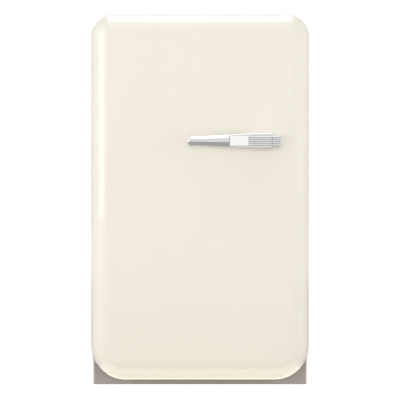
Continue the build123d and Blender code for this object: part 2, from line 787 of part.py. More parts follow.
with BuildPart() as plinth:
    half = WIDTH / 2 - SIDE_HEM
    block((-half, half), (CABINET_FRONT, CABINET_FRONT + PLINTH_DEPTH), (GROUND_GAP, PLINTH_TOP))
    add(hinge_screws.part, mode=Mode.SUBTRACT)
plinth.part.label = "plinth"

with BuildPart() as base_pan:
    block((-INNER_HALF, INNER_HALF), (CABINET_FRONT + PLINTH_DEPTH, PANEL_Y), (PAN_BOTTOM, PAN_TOP))
    with BuildSketch(level(PAN_TOP)):
        with Locations(*FRONT_FEET):
            Circle(BOSS_RADIUS)
    extrude(amount=STUD_LENGTH + BOSS_END)
    with BuildSketch(level(PAN_BOTTOM)):
        with Locations(*FRONT_FEET):
            Circle(PIN_RADIUS + RUNNING_GAP)
    extrude(amount=STUD_LENGTH, mode=Mode.SUBTRACT)
base_pan.part.label = "base_pan"


def levelling_foot(side):
    """A screw foot: a twelve-sided pad, a hexagon to turn it by, and its stud."""
    name = "left" if side < 0 else "right"
    with BuildPart() as foot:
        with BuildSketch(level(0)):
            with Locations((side * FOOT_INSET_X, FOOT_FRONT_Y)):
                RegularPolygon(FOOT_RADIUS, FOOT_SIDES)
        extrude(amount=FOOT_PAD)
        with BuildSketch(level(FOOT_PAD)):
            with Locations((side * FOOT_INSET_X, FOOT_FRONT_Y)):
                RegularPolygon(HEXAGON_RADIUS, 6)
        extrude(amount=STUD_START - FOOT_PAD)
        with BuildSketch(level(STUD_START)):
            with Locations((side * FOOT_INSET_X, FOOT_FRONT_Y)):
                Circle(PIN_RADIUS)
        extrude(amount=STUD_LENGTH - 1)
    foot.part.label = f"foot_front_{name}"
    return foot


front_feet = [levelling_foot(side) for side in (-1, 1)]

with BuildPart() as feet_rear:
    with BuildSketch(level(0)):
        with Locations(*REAR_FEET):
            Circle(FOOT_RADIUS)
    extrude(amount=PAN_BOTTOM)
feet_rear.part.label = "feet_rear"

with BuildPart() as rear_panel:
    with BuildSketch(front_plane(PANEL_FACE)):
        add(cabinet_outline(SHEET, PAN_BOTTOM))
    extrude(amount=SHEET)
    add(feed_rod, mode=Mode.SUBTRACT)
    add(coil_rod, mode=Mode.SUBTRACT)
rear_panel.part.label = "rear_panel"

EVAPORATOR_HALF = 110.0
EVAPORATOR_Z = (470.0, 610.0)
EVAPORATOR_FINS = 15
EVAPORATOR_PLATE = 6.0
FIN_REACH = 17.0
FIN_WIDTH = 2.0
fin_pitch = (2 * EVAPORATOR_HALF - FIN_WIDTH) / (EVAPORATOR_FINS - 1)
fin_root = CAVITY_BACK - EVAPORATOR_PLATE
with BuildPart() as evaporator:
    with BuildSketch(level(EVAPORATOR_Z[0])):
        with Locations((0, CAVITY_BACK - EVAPORATOR_PLATE / 2)):
            Rectangle(2 * EVAPORATOR_HALF, EVAPORATOR_PLATE)
        with Locations((0, fin_root - FIN_REACH / 2)):
            with GridLocations(fin_pitch, 0, EVAPORATOR_FINS, 1):
                Rectangle(FIN_WIDTH, FIN_REACH)
    extrude(amount=EVAPORATOR_Z[1] - EVAPORATOR_Z[0])
evaporator.part.label = "evaporator"

BLOCK_DEPTH = 32.0
pipe_pocket_z = (PIPE_LEVEL - POCKET_HALF_HEIGHT, PIPE_LEVEL + POCKET_HALF_HEIGHT)
with BuildPart() as evaporator_block:
    block((-PLATE_BLOCK_HALF, PLATE_BLOCK_HALF), (CAVITY_BACK, CAVITY_BACK + BLOCK_DEPTH), pipe_pocket_z)
evaporator_block.part.label = "evaporator_block"

LEDGE_BACK = SHELF_BACK - LEDGE_END_GAP
with BuildPart() as cabinet_liner:
    add(cavity_shell)
    add(cavity_space, mode=Mode.SUBTRACT)
    with BuildSketch(front_plane(CABINET_FRONT + LINER)):
        add(cabinet_outline(FRONT_RETURN, PLINTH_TOP))
        with Locations((0, (CAVITY_BOTTOM + CAVITY_TOP) / 2)):
            RectangleRounded(2 * CAVITY_HALF, CAVITY_TOP - CAVITY_BOTTOM, CAVITY_CORNER, mode=Mode.SUBTRACT)
    extrude(amount=LINER)
    for height in LEDGE_LEVELS:
        for side in (-1, 1):
            wall = side * (CAVITY_HALF + LINER / 2)
            lip = side * (CAVITY_HALF - LEDGE_REACH)
            root = (wall, height - LEDGE_HEIGHT)
            with BuildSketch(front_plane(LEDGE_BACK)):
                with BuildLine():
                    Polyline((wall, height), (lip, height), (lip, height - LEDGE_EDGE), root, close=True)
                make_face()
            extrude(amount=LEDGE_BACK - SHELF_FRONT)
    add(evaporator_block.part, mode=Mode.SUBTRACT)
    add(hinge_screws.part, mode=Mode.SUBTRACT)
cabinet_liner.part.label = "cabinet_liner"

with BuildPart() as cabinet_foam:
    with BuildSketch(front_plane(PANEL_Y)):
        add(cabinet_outline(SHEET, PAN_TOP))
    extrude(amount=PANEL_Y - CABINET_FRONT - LINER)
    add(cavity_shell, mode=Mode.SUBTRACT)
    plinth_y = (CABINET_FRONT, CABINET_FRONT + PLINTH_DEPTH)
    block((-WIDTH, WIDTH), plinth_y, (0, PLINTH_TOP), mode=Mode.SUBTRACT)
    block(PIPE_POCKET, (CAVITY_BACK + LINER, PANEL_Y), pipe_pocket_z, mode=Mode.SUBTRACT)
    add(hinge_screws.part, mode=Mode.SUBTRACT)
    with BuildSketch(level(PAN_TOP)):
        with Locations(*FRONT_FEET):
            Circle(BOSS_RADIUS)
    extrude(amount=STUD_LENGTH + BOSS_END, mode=Mode.SUBTRACT)
cabinet_foam.part.label = "cabinet_foam"

GUTTER_HALF = 118.0
GUTTER_FLOOR = 440.0
GUTTER_RIM = 456.0
GUTTER_REACH = 34.0
GUTTER_LOWEST = CAVITY_BACK - 14.0
GUTTER_FALL = 4.0
GUTTER_WALL = 2.0
gutter_front = CAVITY_BACK - GUTTER_REACH
gutter_side = GUTTER_FLOOR + GUTTER_FALL
with BuildPart() as drip_gutter:
    with BuildSketch(side_plane(-GUTTER_HALF)):
        with BuildLine():
            Polyline(
                (CAVITY_BACK, GUTTER_RIM),
                (CAVITY_BACK, gutter_side),
                (GUTTER_LOWEST, GUTTER_FLOOR),
                (gutter_front + GUTTER_WALL, gutter_side),
                (gutter_front, GUTTER_RIM),
                (gutter_front + GUTTER_WALL, GUTTER_RIM),
                (gutter_front + 2 * GUTTER_WALL, gutter_side + GUTTER_WALL),
                (GUTTER_LOWEST, GUTTER_FLOOR + GUTTER_WALL),
                (CAVITY_BACK - GUTTER_WALL, gutter_side + GUTTER_WALL),
                (CAVITY_BACK - GUTTER_WALL, GUTTER_RIM),
                close=True,
            )
        make_face()
    extrude(amount=2 * GUTTER_HALF)
drip_gutter.part.label = "drip_gutter"

TRIM_INSET = 8.0
TRIM_DEPTH = 14.0
TRIM_LIP = 4.0
TRIM_CORNER = 3.0


def shelf_pieces(name):
    """A glass shelf and the moulded strip on its front edge."""
    height = SHELF_LEVELS[name] + RUNNING_GAP
    with BuildPart() as glass:
        block((-SHELF_HALF, SHELF_HALF), (SHELF_FRONT, SHELF_BACK), (height, height + GLASS))
    glass.part.label = f"shelf_glass_{name}"
    with BuildPart() as trim:
        with BuildSketch(side_plane(-SHELF_HALF + TRIM_INSET)):
            with Locations((SHELF_FRONT + TRIM_LIP, height + GLASS / 2)):
                RectangleRounded(TRIM_DEPTH, GLASS + 2 * TRIM_LIP, TRIM_CORNER)
        extrude(amount=2 * (SHELF_HALF - TRIM_INSET))
        add(glass.part, mode=Mode.SUBTRACT)
    trim.part.label = f"shelf_trim_{name}"
    return [glass, trim]


shelves = [piece for name in SHELF_LEVELS for piece in shelf_pieces(name)]

HOUSING_FRONT = -95.0
HOUSING_BACK = 5.0
HOUSING_BOTTOM = 622.0
HOUSING_WIDTH = 120.0
HOUSING_CORNER = 10.0
HOUSING_EDGE = 3.0
LENS_SIZE = (70.0, 44.0)
LENS_CORNER = 8.0
LENS_THICKNESS = 4.0
KNOB_X = 30.0
KNOB_Z = 638.0
KNOB_RADIUS = 11.0
KNOB_DEPTH = 11.0
KNOB_GAP = 0.5
KNOB_FLUTES = 8
FLUTE_RADIUS = 1.8
FLUTE_OUT = 1.0
SPINDLE_RADIUS = 3.0
SPINDLE_LENGTH = 12.5
SPINDLE_HOLE = 14.0
with BuildPart() as lamp_lens:
    with BuildSketch(level(HOUSING_BOTTOM - LENS_THICKNESS / 2)):
        with Locations((0, (HOUSING_FRONT + HOUSING_BACK) / 2)):
            RectangleRounded(*LENS_SIZE, LENS_CORNER)
    extrude(amount=LENS_THICKNESS)
lamp_lens.part.label = "lamp_lens"

with BuildPart() as control_housing:
    with BuildSketch(level(HOUSING_BOTTOM)):
        with Locations((0, (HOUSING_FRONT + HOUSING_BACK) / 2)):
            RectangleRounded(HOUSING_WIDTH, HOUSING_BACK - HOUSING_FRONT, HOUSING_CORNER)
    extrude(amount=CAVITY_TOP - HOUSING_BOTTOM)
    chamfer(control_housing.faces().sort_by(Axis.Z)[0].edges(), HOUSING_EDGE)
    add(lamp_lens.part, mode=Mode.SUBTRACT)
    with BuildSketch(front_plane(HOUSING_FRONT + SPINDLE_HOLE)):
        with Locations((KNOB_X, KNOB_Z)):
            Circle(SPINDLE_RADIUS + RUNNING_GAP)
    extrude(amount=SPINDLE_HOLE, mode=Mode.SUBTRACT)
control_housing.part.label = "control_housing"

knob_back = HOUSING_FRONT - KNOB_GAP
with BuildPart() as thermostat_knob:
    with BuildSketch(front_plane(knob_back)):
        with Locations((KNOB_X, KNOB_Z)):
            Circle(KNOB_RADIUS)
            with PolarLocations(KNOB_RADIUS + FLUTE_OUT, KNOB_FLUTES):
                Circle(FLUTE_RADIUS, mode=Mode.SUBTRACT)
    extrude(amount=KNOB_DEPTH)
    with BuildSketch(front_plane(knob_back + SPINDLE_LENGTH)):
        with Locations((KNOB_X, KNOB_Z)):
            Circle(SPINDLE_RADIUS)
    extrude(amount=SPINDLE_LENGTH)
thermostat_knob.part.label = "thermostat_knob"

pieces = [
    door_skin, door_foam, door_liner, door_gasket, *hinge_bushes, *door_bins,
    handle_bar, handle_cap, handle_pad, handle_ribs, handle_body, handle_bracket, handle_foot, handle_screws,
    cabinet_wrapper, cabinet_foam, cabinet_liner, plinth, base_pan, rear_panel,
    *hinge_plates, hinge_pins, hinge_screws, *front_feet, feet_rear,
    *shelves, evaporator, evaporator_block, drip_gutter, control_housing, lamp_lens, thermostat_knob,
    boiler, boiler_clamp, heater_cartridge, condenser_tube, condenser_fins, absorber_coil, absorber_tank,
    heat_exchanger_tube, unit_brackets, terminal_box, cord_gland,
]

os.makedirs("parts", exist_ok=True)
for piece in pieces:
    export_step(piece.part, f"parts/{piece.part.label}.step")
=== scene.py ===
import json
from math import hypot, radians, sqrt
import bpy
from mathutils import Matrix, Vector

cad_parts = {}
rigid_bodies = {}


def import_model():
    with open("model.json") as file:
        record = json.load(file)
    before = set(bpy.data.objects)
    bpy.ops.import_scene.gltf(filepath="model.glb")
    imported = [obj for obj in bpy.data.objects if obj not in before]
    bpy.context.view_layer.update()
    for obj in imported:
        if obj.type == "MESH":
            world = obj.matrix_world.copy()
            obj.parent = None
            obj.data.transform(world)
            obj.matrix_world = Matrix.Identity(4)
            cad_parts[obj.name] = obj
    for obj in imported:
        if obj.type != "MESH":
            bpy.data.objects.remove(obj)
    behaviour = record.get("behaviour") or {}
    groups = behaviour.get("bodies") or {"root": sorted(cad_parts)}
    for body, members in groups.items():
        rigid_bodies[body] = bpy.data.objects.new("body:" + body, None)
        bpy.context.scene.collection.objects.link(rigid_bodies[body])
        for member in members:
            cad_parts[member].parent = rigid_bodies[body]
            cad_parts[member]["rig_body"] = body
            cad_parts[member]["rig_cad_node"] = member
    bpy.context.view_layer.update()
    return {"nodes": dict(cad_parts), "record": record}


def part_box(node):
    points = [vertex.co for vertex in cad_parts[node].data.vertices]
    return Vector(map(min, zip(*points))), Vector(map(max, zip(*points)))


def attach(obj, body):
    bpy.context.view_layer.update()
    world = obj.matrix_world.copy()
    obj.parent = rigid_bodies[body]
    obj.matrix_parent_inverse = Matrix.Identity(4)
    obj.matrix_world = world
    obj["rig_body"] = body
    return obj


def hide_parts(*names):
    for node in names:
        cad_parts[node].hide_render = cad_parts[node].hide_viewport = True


# A compact retro fridge: gloss enamelled door and cabinet, chrome pull, white inside, and an open-backed
# absorption cooling unit. Everything is in metres. +Z is up and the door faces -Y.
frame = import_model()
nodes = frame["nodes"]
MM = 0.001
NEAR = 0.01 * MM  # points closer than this are the same point
FLAT = radians(0.5)  # facets that turn by less than this are one flat face
FACING = 0.9  # how far a face's normal has to point along an axis to face that way
CUT_PAST = 10 * MM  # how far a cutter runs past the face that it cuts
QUARTER_TURN = radians(90)


# ---------------------------------------------------------------------------------------------------------
# Modelling helpers
# ---------------------------------------------------------------------------------------------------------
def low(node):
    """The lowest corner of a CAD node."""
    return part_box(node)[0]


def high(node):
    """The highest corner of a CAD node."""
    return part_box(node)[1]


def only(obj):
    """Selects one piece alone and makes it the active one."""
    bpy.ops.object.select_all(action="DESELECT")
    obj.select_set(True)
    bpy.context.view_layer.objects.active = obj


def edit(obj, mode):
    """Goes into edit mode on one piece, with nothing selected."""
    only(obj)
    bpy.ops.object.mode_set(mode="EDIT")
    bpy.ops.mesh.select_mode(type=mode)
    bpy.ops.mesh.select_all(action="DESELECT")


def edit_all(obj, mode):
    """Goes into edit mode on one piece, with all of it selected."""
    edit(obj, mode)
    bpy.ops.mesh.select_all(action="SELECT")


def leave():
    """Goes back to object mode."""
    bpy.ops.object.mode_set(mode="OBJECT")


def pick(obj, mode, test):
    """Selects the points, edges or faces of a piece that pass a test, and stays in edit mode."""
    edit(obj, mode)
    leave()
    mesh = obj.data
    if mode == "VERT":
        for point in mesh.vertices:
            point.select = test(point.co)
    elif mode == "EDGE":
        for line in mesh.edges:
            ends = [mesh.vertices[i].co for i in line.vertices]
            line.select = test(ends[0], ends[1])
    else:
        for face in mesh.polygons:
            face.select = test(face.center, face.normal)
    bpy.ops.object.mode_set(mode="EDIT")


def round_edges(obj, test, radius, segments):
    """Rounds the edges of a piece that pass a test of their two ends."""
    pick(obj, "EDGE", test)
    bpy.ops.mesh.bevel(offset=radius, segments=segments, affect="EDGES")
    leave()


def settle(obj, name):
    """Names a new primitive and moves its place, turn and size into its mesh."""
    obj.name = name
    obj.data.name = name
    only(obj)
    bpy.ops.object.transform_apply(location=True, rotation=True, scale=True)
    return obj


def block(name, lowest, highest):
    """A block between two corners, ready to be shaped."""
    bpy.ops.object.select_all(action="DESELECT")
    middle = (Vector(lowest) + Vector(highest)) / 2
    bpy.ops.mesh.primitive_cube_add(size=1, location=middle)
    made = bpy.context.object
    made.scale = Vector(highest) - Vector(lowest)
    return settle(made, name)


def round_bar(name, start, end, start_radius, end_radius, sides=64):
    """A straight or tapered round bar between two points, ready to be shaped."""
    bpy.ops.object.select_all(action="DESELECT")
    run = Vector(end) - Vector(start)
    bpy.ops.mesh.primitive_cone_add(
        vertices=sides, radius1=start_radius, radius2=end_radius, depth=run.length,
        location=(Vector(start) + Vector(end)) / 2, rotation=run.to_track_quat("Z", "Y").to_euler(),
    )
    return settle(bpy.context.object, name)


def refine(obj, kind, **settings):
    """Adds a modifier to a piece and applies it."""
    only(obj)
    added = obj.modifiers.new(kind.lower(), kind)
    for setting, value in settings.items():
        setattr(added, setting, value)
    bpy.ops.object.modifier_apply(modifier=added.name)


def cut(obj, cutters):
    """Takes cutters out of a piece and removes them."""
    for cutter in cutters:
        refine(obj, "BOOLEAN", operation="DIFFERENCE", solver="EXACT", object=cutter)
        bpy.data.objects.remove(cutter, do_unlink=True)


def join(obj, others):
    """Makes several meshes one piece."""
    only(obj)
    for other in others:
        other.select_set(True)
    bpy.ops.object.join()
    return obj


def soft_edges(obj, width, segments=2, angle=30):
    """Rounds the sharp edges of a piece."""
    refine(
        obj, "BEVEL", width=width, segments=segments, limit_method="ANGLE",
        angle_limit=radians(angle), harden_normals=False, miter_outer="MITER_ARC",
    )


def smooth(obj, angle=35):
    """Shades a piece smooth, apart from its sharp edges, with its large faces kept flat."""
    only(obj)
    bpy.ops.object.shade_smooth_by_angle(angle=radians(angle))
    refine(obj, "WEIGHTED_NORMAL", keep_sharp=True)


def softened(node, width, segments, merged=True):
    """A copy of a CAD node with its edges rounded, as its making gives it, and its flat facets merged."""
    copy = nodes[node].copy()
    copy.data = nodes[node].data.copy()
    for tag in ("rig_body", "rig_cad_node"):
        del copy[tag]
    copy.parent = None
    copy.name = f"{node}_piece"
    copy.data.name = copy.name
    bpy.context.scene.collection.objects.link(copy)
    edit_all(copy, "VERT")
    bpy.ops.mesh.customdata_custom_splitnormals_clear()
    bpy.ops.mesh.remove_doubles(threshold=NEAR)
    if merged:
        bpy.ops.mesh.dissolve_limited(angle_limit=FLAT)
    leave()
    soft_edges(copy, width, segments)
    smooth(copy)
    return copy


def place(obj, *replaced):
    """Gives a finished piece the slot's material and the body of the CAD nodes that it stands for."""
    slot = SLOT_OF[replaced[0]]
    obj.data.materials.clear()
    obj.data.materials.append(BY_SLOT[slot])
    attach(obj, BODY_OF[replaced[0]])
    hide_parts(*replaced)


def firm_up(obj):
    """Merges the points that a spin or an extrusion left double and turns every face outwards."""
    edit_all(obj, "VERT")
    bpy.ops.mesh.remove_doubles(threshold=NEAR)
    bpy.ops.mesh.normals_make_consistent(inside=False)
    leave()


# ---------------------------------------------------------------------------------------------------------
# Material helpers
# ---------------------------------------------------------------------------------------------------------
def srgb(code):
    """A hex sRGB colour as linear RGBA."""
    channels = [int(code[i:i + 2], 16) / 255 for i in (0, 2, 4)]
    return tuple(c / 12.92 if c <= 0.04045 else ((c + 0.055) / 1.055) ** 2.4 for c in channels) + (1.0,)


def add(tree, kind, inputs=None, **settings):
    """Adds a shader node with its settings, and sets or links its inputs."""
    made = tree.nodes.new(kind)
    for setting, value in settings.items():
        setattr(made, setting, value)
    for socket, value in (inputs or {}).items():
        if isinstance(value, bpy.types.NodeSocket):
            tree.links.new(value, made.inputs[socket])
        else:
            made.inputs[socket].default_value = value
    return made


def new_material(name):
    """An empty node material with an output, and its object coordinates."""
    made = bpy.data.materials.new(name)
    made.use_nodes = True
    made.node_tree.nodes.clear()
    tree = made.node_tree
    where = add(tree, "ShaderNodeTexCoord").outputs["Object"]
    return made, tree, where


def per_metre(size_mm):
    """The scale that gives a pattern features of about this size."""
    return 1 / (size_mm * MM)


def finish_surface(tree, **inputs):
    """Puts a principled surface on the output."""
    surface = add(tree, "ShaderNodeBsdfPrincipled", inputs)
    add(tree, "ShaderNodeOutputMaterial", {"Surface": surface.outputs["BSDF"]})


# ---------------------------------------------------------------------------------------------------------
# Materials
# ---------------------------------------------------------------------------------------------------------
FIRST, SECOND, BLEND = 6, 7, 2  # the colour inputs and output of a Mix node
LINE_STRETCH = 0.03  # how much a pattern is drawn out along the brushing of the satin plate
DRAW_STRETCH = 0.04  # and along the draw of the aluminium


def cream_enamel():
    """Stoved gloss enamel on pressed steel: a deep gloss over flat cream, with the faintest orange peel."""
    made, tree, where = new_material("cream_stoved_enamel")
    drift = add(tree, "ShaderNodeTexNoise", {"Vector": where, "Scale": per_metre(180), "Detail": 2.0})
    colour = add(
        tree, "ShaderNodeMix", {0: drift.outputs["Fac"], FIRST: srgb("eee9db"), SECOND: srgb("f0ebdd")},
        data_type="RGBA",
    )
    peel = add(tree, "ShaderNodeTexNoise", {"Vector": where, "Scale": per_metre(5), "Detail": 2.0})
    bump = add(
        tree, "ShaderNodeBump", {"Height": peel.outputs["Fac"], "Strength": 0.03, "Distance": 0.1 * MM}
    )
    finish_surface(tree, **{
        "Base Color": colour.outputs[BLEND], "Roughness": 0.5, "IOR": 1.5, "Normal": bump.outputs["Normal"],
        "Coat Weight": 0.7, "Coat Roughness": 0.03,
    })
    return made


def bright_chrome():
    """Chrome plate on a zinc casting: a mirror with faint handling haze, and painted shade in crevices."""
    made, tree, where = new_material("bright_chrome_plate")
    haze = add(tree, "ShaderNodeTexNoise", {"Vector": where, "Scale": per_metre(14), "Detail": 4.0})
    rough = add(tree, "ShaderNodeMapRange", {"Value": haze.outputs["Fac"], "To Min": 0.12, "To Max": 0.2})
    # Painted shade: ambient occlusion within 1.4 mm darkens the colour in crevices and between the ribs.
    painted_crevice_shade = add(tree, "ShaderNodeAmbientOcclusion", {"Distance": 1.4 * MM}, samples=8)
    colour = add(
        tree, "ShaderNodeMix", {0: painted_crevice_shade.outputs["AO"], FIRST: srgb("3c3c3e"), SECOND: srgb("ebebec")},
        data_type="RGBA",
    )
    finish_surface(tree, **{
        "Base Color": colour.outputs[BLEND], "Metallic": 1.0, "Roughness": rough.outputs["Result"],
    })
    return made


def satin_plate():
    """Satin nickel plate, brushed along the handle: pale and soft, with fine long lines."""
    made, tree, where = new_material("satin_nickel_plate")
    along = add(tree, "ShaderNodeMapping", {"Vector": where, "Scale": (LINE_STRETCH, 1.0, 1.0)})
    # Brush lines are really under 0.1 mm apart; they are drawn at 0.5 mm so that they show.
    lines = add(
        tree, "ShaderNodeTexNoise",
        {"Vector": along.outputs["Vector"], "Scale": per_metre(0.5), "Detail": 3.0},
    )
    rough = add(tree, "ShaderNodeMapRange", {"Value": lines.outputs["Fac"], "To Min": 0.25, "To Max": 0.45})
    bump = add(
        tree, "ShaderNodeBump", {"Height": lines.outputs["Fac"], "Strength": 0.15, "Distance": 0.05 * MM}
    )
    # Half metallic, because the brushing scatters light from all sides and looks paler than a mirror does.
    finish_surface(tree, **{
        "Base Color": srgb("f8f7f5"), "Metallic": 0.5, "Roughness": rough.outputs["Result"],
        "Normal": bump.outputs["Normal"],
    })
    return made


def white_styrene():
    """Vacuum-formed high-impact polystyrene: smooth, white and slightly waxy, with soft thickness shading."""
    made, tree, where = new_material("white_polystyrene")
    cloud = add(tree, "ShaderNodeTexNoise", {"Vector": where, "Scale": per_metre(60), "Detail": 3.0})
    colour = add(
        tree, "ShaderNodeMix", {0: cloud.outputs["Fac"], FIRST: srgb("eceeed"), SECOND: srgb("f4f5f3")},
        data_type="RGBA",
    )
    grain = add(tree, "ShaderNodeTexNoise", {"Vector": where, "Scale": per_metre(1.2), "Detail": 2.0})
    bump = add(
        tree, "ShaderNodeBump", {"Height": grain.outputs["Fac"], "Strength": 0.08, "Distance": 0.1 * MM}
    )
    finish_surface(tree, **{
        "Base Color": colour.outputs[BLEND], "Roughness": 0.28, "IOR": 1.59, "Normal": bump.outputs["Normal"],
    })
    return made


def rigid_foam():
    """Rigid polyurethane foam: pale yellow closed cells."""
    made, tree, where = new_material("rigid_polyurethane_foam")
    cells = add(tree, "ShaderNodeTexVoronoi", {"Vector": where, "Scale": per_metre(1.5)})
    colour = add(
        tree, "ShaderNodeMix", {0: cells.outputs["Distance"], FIRST: srgb("e6d8a4"), SECOND: srgb("f0e6bc")},
        data_type="RGBA",
    )
    bump = add(
        tree, "ShaderNodeBump", {"Height": cells.outputs["Distance"], "Strength": 0.4, "Distance": 0.4 * MM}
    )
    finish_surface(tree, **{
        "Base Color": colour.outputs[BLEND], "Roughness": 0.9, "Normal": bump.outputs["Normal"],
    })
    return made


def seal_vinyl():
    """Soft extruded PVC: pale grey, dull, with a slight sheen along the extrusion."""
    made, tree, where = new_material("soft_extruded_vinyl")
    dust = add(tree, "ShaderNodeTexNoise", {"Vector": where, "Scale": per_metre(9), "Detail": 4.0})
    colour = add(
        tree, "ShaderNodeMix", {0: dust.outputs["Fac"], FIRST: srgb("cfcfcb"), SECOND: srgb("dcdcd8")},
        data_type="RGBA",
    )
    bump = add(
        tree, "ShaderNodeBump", {"Height": dust.outputs["Fac"], "Strength": 0.1, "Distance": 0.1 * MM}
    )
    finish_surface(tree, **{
        "Base Color": colour.outputs[BLEND], "Roughness": 0.5, "IOR": 1.53, "Sheen Weight": 0.15,
        "Normal": bump.outputs["Normal"],
    })
    return made


def clear_styrene():
    """Clear moulded polystyrene: glassy, a trace of blue, with faint flow lines."""
    made, tree, where = new_material("clear_polystyrene")
    flow = add(tree, "ShaderNodeTexNoise", {"Vector": where, "Scale": per_metre(35), "Detail": 1.0})
    rough = add(tree, "ShaderNodeMapRange", {"Value": flow.outputs["Fac"], "To Min": 0.03, "To Max": 0.09})
    bump = add(
        tree, "ShaderNodeBump", {"Height": flow.outputs["Fac"], "Strength": 0.1, "Distance": 0.2 * MM}
    )
    finish_surface(tree, **{
        "Base Color": srgb("edf5fa"), "Roughness": rough.outputs["Result"], "IOR": 1.59,
        "Transmission Weight": 0.92, "Normal": bump.outputs["Normal"],
    })
    return made


def toughened_glass():
    """Toughened float glass: clear through its face and green through its edge, with faint roller waves."""
    made, tree, where = new_material("toughened_float_glass")
    waves = add(tree, "ShaderNodeTexNoise", {"Vector": where, "Scale": per_metre(90), "Detail": 0.0})
    bump = add(
        tree, "ShaderNodeBump", {"Height": waves.outputs["Fac"], "Strength": 0.05, "Distance": 0.2 * MM}
    )
    finish_surface(tree, **{
        "Base Color": srgb("dcefe8"), "Roughness": 0.02, "IOR": 1.52, "Transmission Weight": 0.95,
        "Normal": bump.outputs["Normal"],
    })
    return made


def plinth_paint():
    """Satin grey powder coat on steel: even, with a fine powder texture."""
    made, tree, where = new_material("grey_satin_powder_coat")
    speck = add(tree, "ShaderNodeTexNoise", {"Vector": where, "Scale": per_metre(1.5), "Detail": 3.0})
    colour = add(
        tree, "ShaderNodeMix", {0: speck.outputs["Fac"], FIRST: srgb("9a9490"), SECOND: srgb("a29c98")},
        data_type="RGBA",
    )
    bump = add(
        tree, "ShaderNodeBump", {"Height": speck.outputs["Fac"], "Strength": 0.15, "Distance": 0.1 * MM}
    )
    finish_surface(tree, **{
        "Base Color": colour.outputs[BLEND], "Roughness": 0.42, "Normal": bump.outputs["Normal"],
    })
    return made


def zinc_plate():
    """Galvanised steel sheet: grey metal with faint crystal spangle."""
    made, tree, where = new_material("galvanised_steel")
    spangle = add(tree, "ShaderNodeTexVoronoi", {"Vector": where, "Scale": per_metre(9)})
    colour = add(
        tree, "ShaderNodeMix",
        {0: spangle.outputs["Distance"], FIRST: srgb("a9adb0"), SECOND: srgb("c3c6c8")}, data_type="RGBA",
    )
    rough = add(
        tree, "ShaderNodeMapRange", {"Value": spangle.outputs["Distance"], "To Min": 0.3, "To Max": 0.5}
    )
    finish_surface(tree, **{
        "Base Color": colour.outputs[BLEND], "Metallic": 1.0, "Roughness": rough.outputs["Result"],
    })
    return made


def black_enamel():
    """Black stoving paint on welded steel: half gloss, slightly uneven from dipping."""
    made, tree, where = new_material("black_stoving_paint")
    runs = add(tree, "ShaderNodeTexNoise", {"Vector": where, "Scale": per_metre(12), "Detail": 3.0})
    rough = add(tree, "ShaderNodeMapRange", {"Value": runs.outputs["Fac"], "To Min": 0.28, "To Max": 0.45})
    bump = add(
        tree, "ShaderNodeBump", {"Height": runs.outputs["Fac"], "Strength": 0.25, "Distance": 0.3 * MM}
    )
    finish_surface(tree, **{
        "Base Color": srgb("1d1d1f"), "Roughness": rough.outputs["Result"], "Normal": bump.outputs["Normal"],
    })
    return made


def mill_aluminium():
    """Extruded aluminium with its mill finish: pale metal with draw lines down its length."""
    made, tree, where = new_material("mill_finish_aluminium")
    along = add(tree, "ShaderNodeMapping", {"Vector": where, "Scale": (1.0, 1.0, DRAW_STRETCH)})
    lines = add(
        tree, "ShaderNodeTexNoise", {"Vector": along.outputs["Vector"], "Scale": per_metre(1), "Detail": 3.0}
    )
    rough = add(tree, "ShaderNodeMapRange", {"Value": lines.outputs["Fac"], "To Min": 0.28, "To Max": 0.48})
    finish_surface(tree, **{
        "Base Color": srgb("d9dadb"), "Metallic": 1.0, "Roughness": rough.outputs["Result"],
    })
    return made


def black_moulding():
    """Black moulded nylon: dull, with a fine spark-eroded grain."""
    made, tree, where = new_material("black_moulded_nylon")
    grain = add(tree, "ShaderNodeTexNoise", {"Vector": where, "Scale": per_metre(0.6), "Detail": 2.0})
    bump = add(
        tree, "ShaderNodeBump", {"Height": grain.outputs["Fac"], "Strength": 0.3, "Distance": 0.1 * MM}
    )
    finish_surface(tree, **{
        "Base Color": srgb("232324"), "Roughness": 0.5, "IOR": 1.53, "Normal": bump.outputs["Normal"],
    })
    return made


def foot_rubber():
    """Moulded black rubber: matt, with a bloom that greys it in places."""
    made, tree, where = new_material("moulded_black_rubber")
    bloom = add(tree, "ShaderNodeTexNoise", {"Vector": where, "Scale": per_metre(7), "Detail": 4.0})
    colour = add(
        tree, "ShaderNodeMix", {0: bloom.outputs["Fac"], FIRST: srgb("1c1c1c"), SECOND: srgb("2f2e2d")},
        data_type="RGBA",
    )
    finish_surface(tree, **{"Base Color": colour.outputs[BLEND], "Roughness": 0.8})
    return made


BY_SLOT = {
    "cream_enamel": cream_enamel(), "handle_chrome": bright_chrome(), "handle_satin": satin_plate(),
    "white_plastic": white_styrene(), "insulation_foam": rigid_foam(), "seal": seal_vinyl(),
    "clear_plastic": clear_styrene(), "shelf_glass": toughened_glass(), "plinth_grey": plinth_paint(),
    "zinc_steel": zinc_plate(), "black_paint": black_enamel(), "aluminium": mill_aluminium(),
    "black_plastic": black_moulding(), "foot_rubber": foot_rubber(),
}
SLOT_OF = {part["node"]: part["material_slot"] for part in frame["record"]["subparts"]}
BODY_OF = {node: body for body, held in frame["record"]["behaviour"]["bodies"].items() for node in held}
# The CAD nodes have these materials too, because the two foams are shown by their own nodes.
for node, slot in SLOT_OF.items():
    nodes[node].data.materials.clear()
    nodes[node].data.materials.append(BY_SLOT[slot])


# ---------------------------------------------------------------------------------------------------------
# Camera, floor and lights
# ---------------------------------------------------------------------------------------------------------
CAMERA_BACK = 3.03  # metres in front of the cabinet's middle
CAMERA_HEIGHT = 0.352
LENS, SENSOR = 137.6, 36.0  # focal length and sensor width in millimetres
FLOOR_SIZE = 30
GLOW_FROM, GLOW_TO = 2.6, 4.5  # the floor seen in gloss brightens between these distances from the fridge


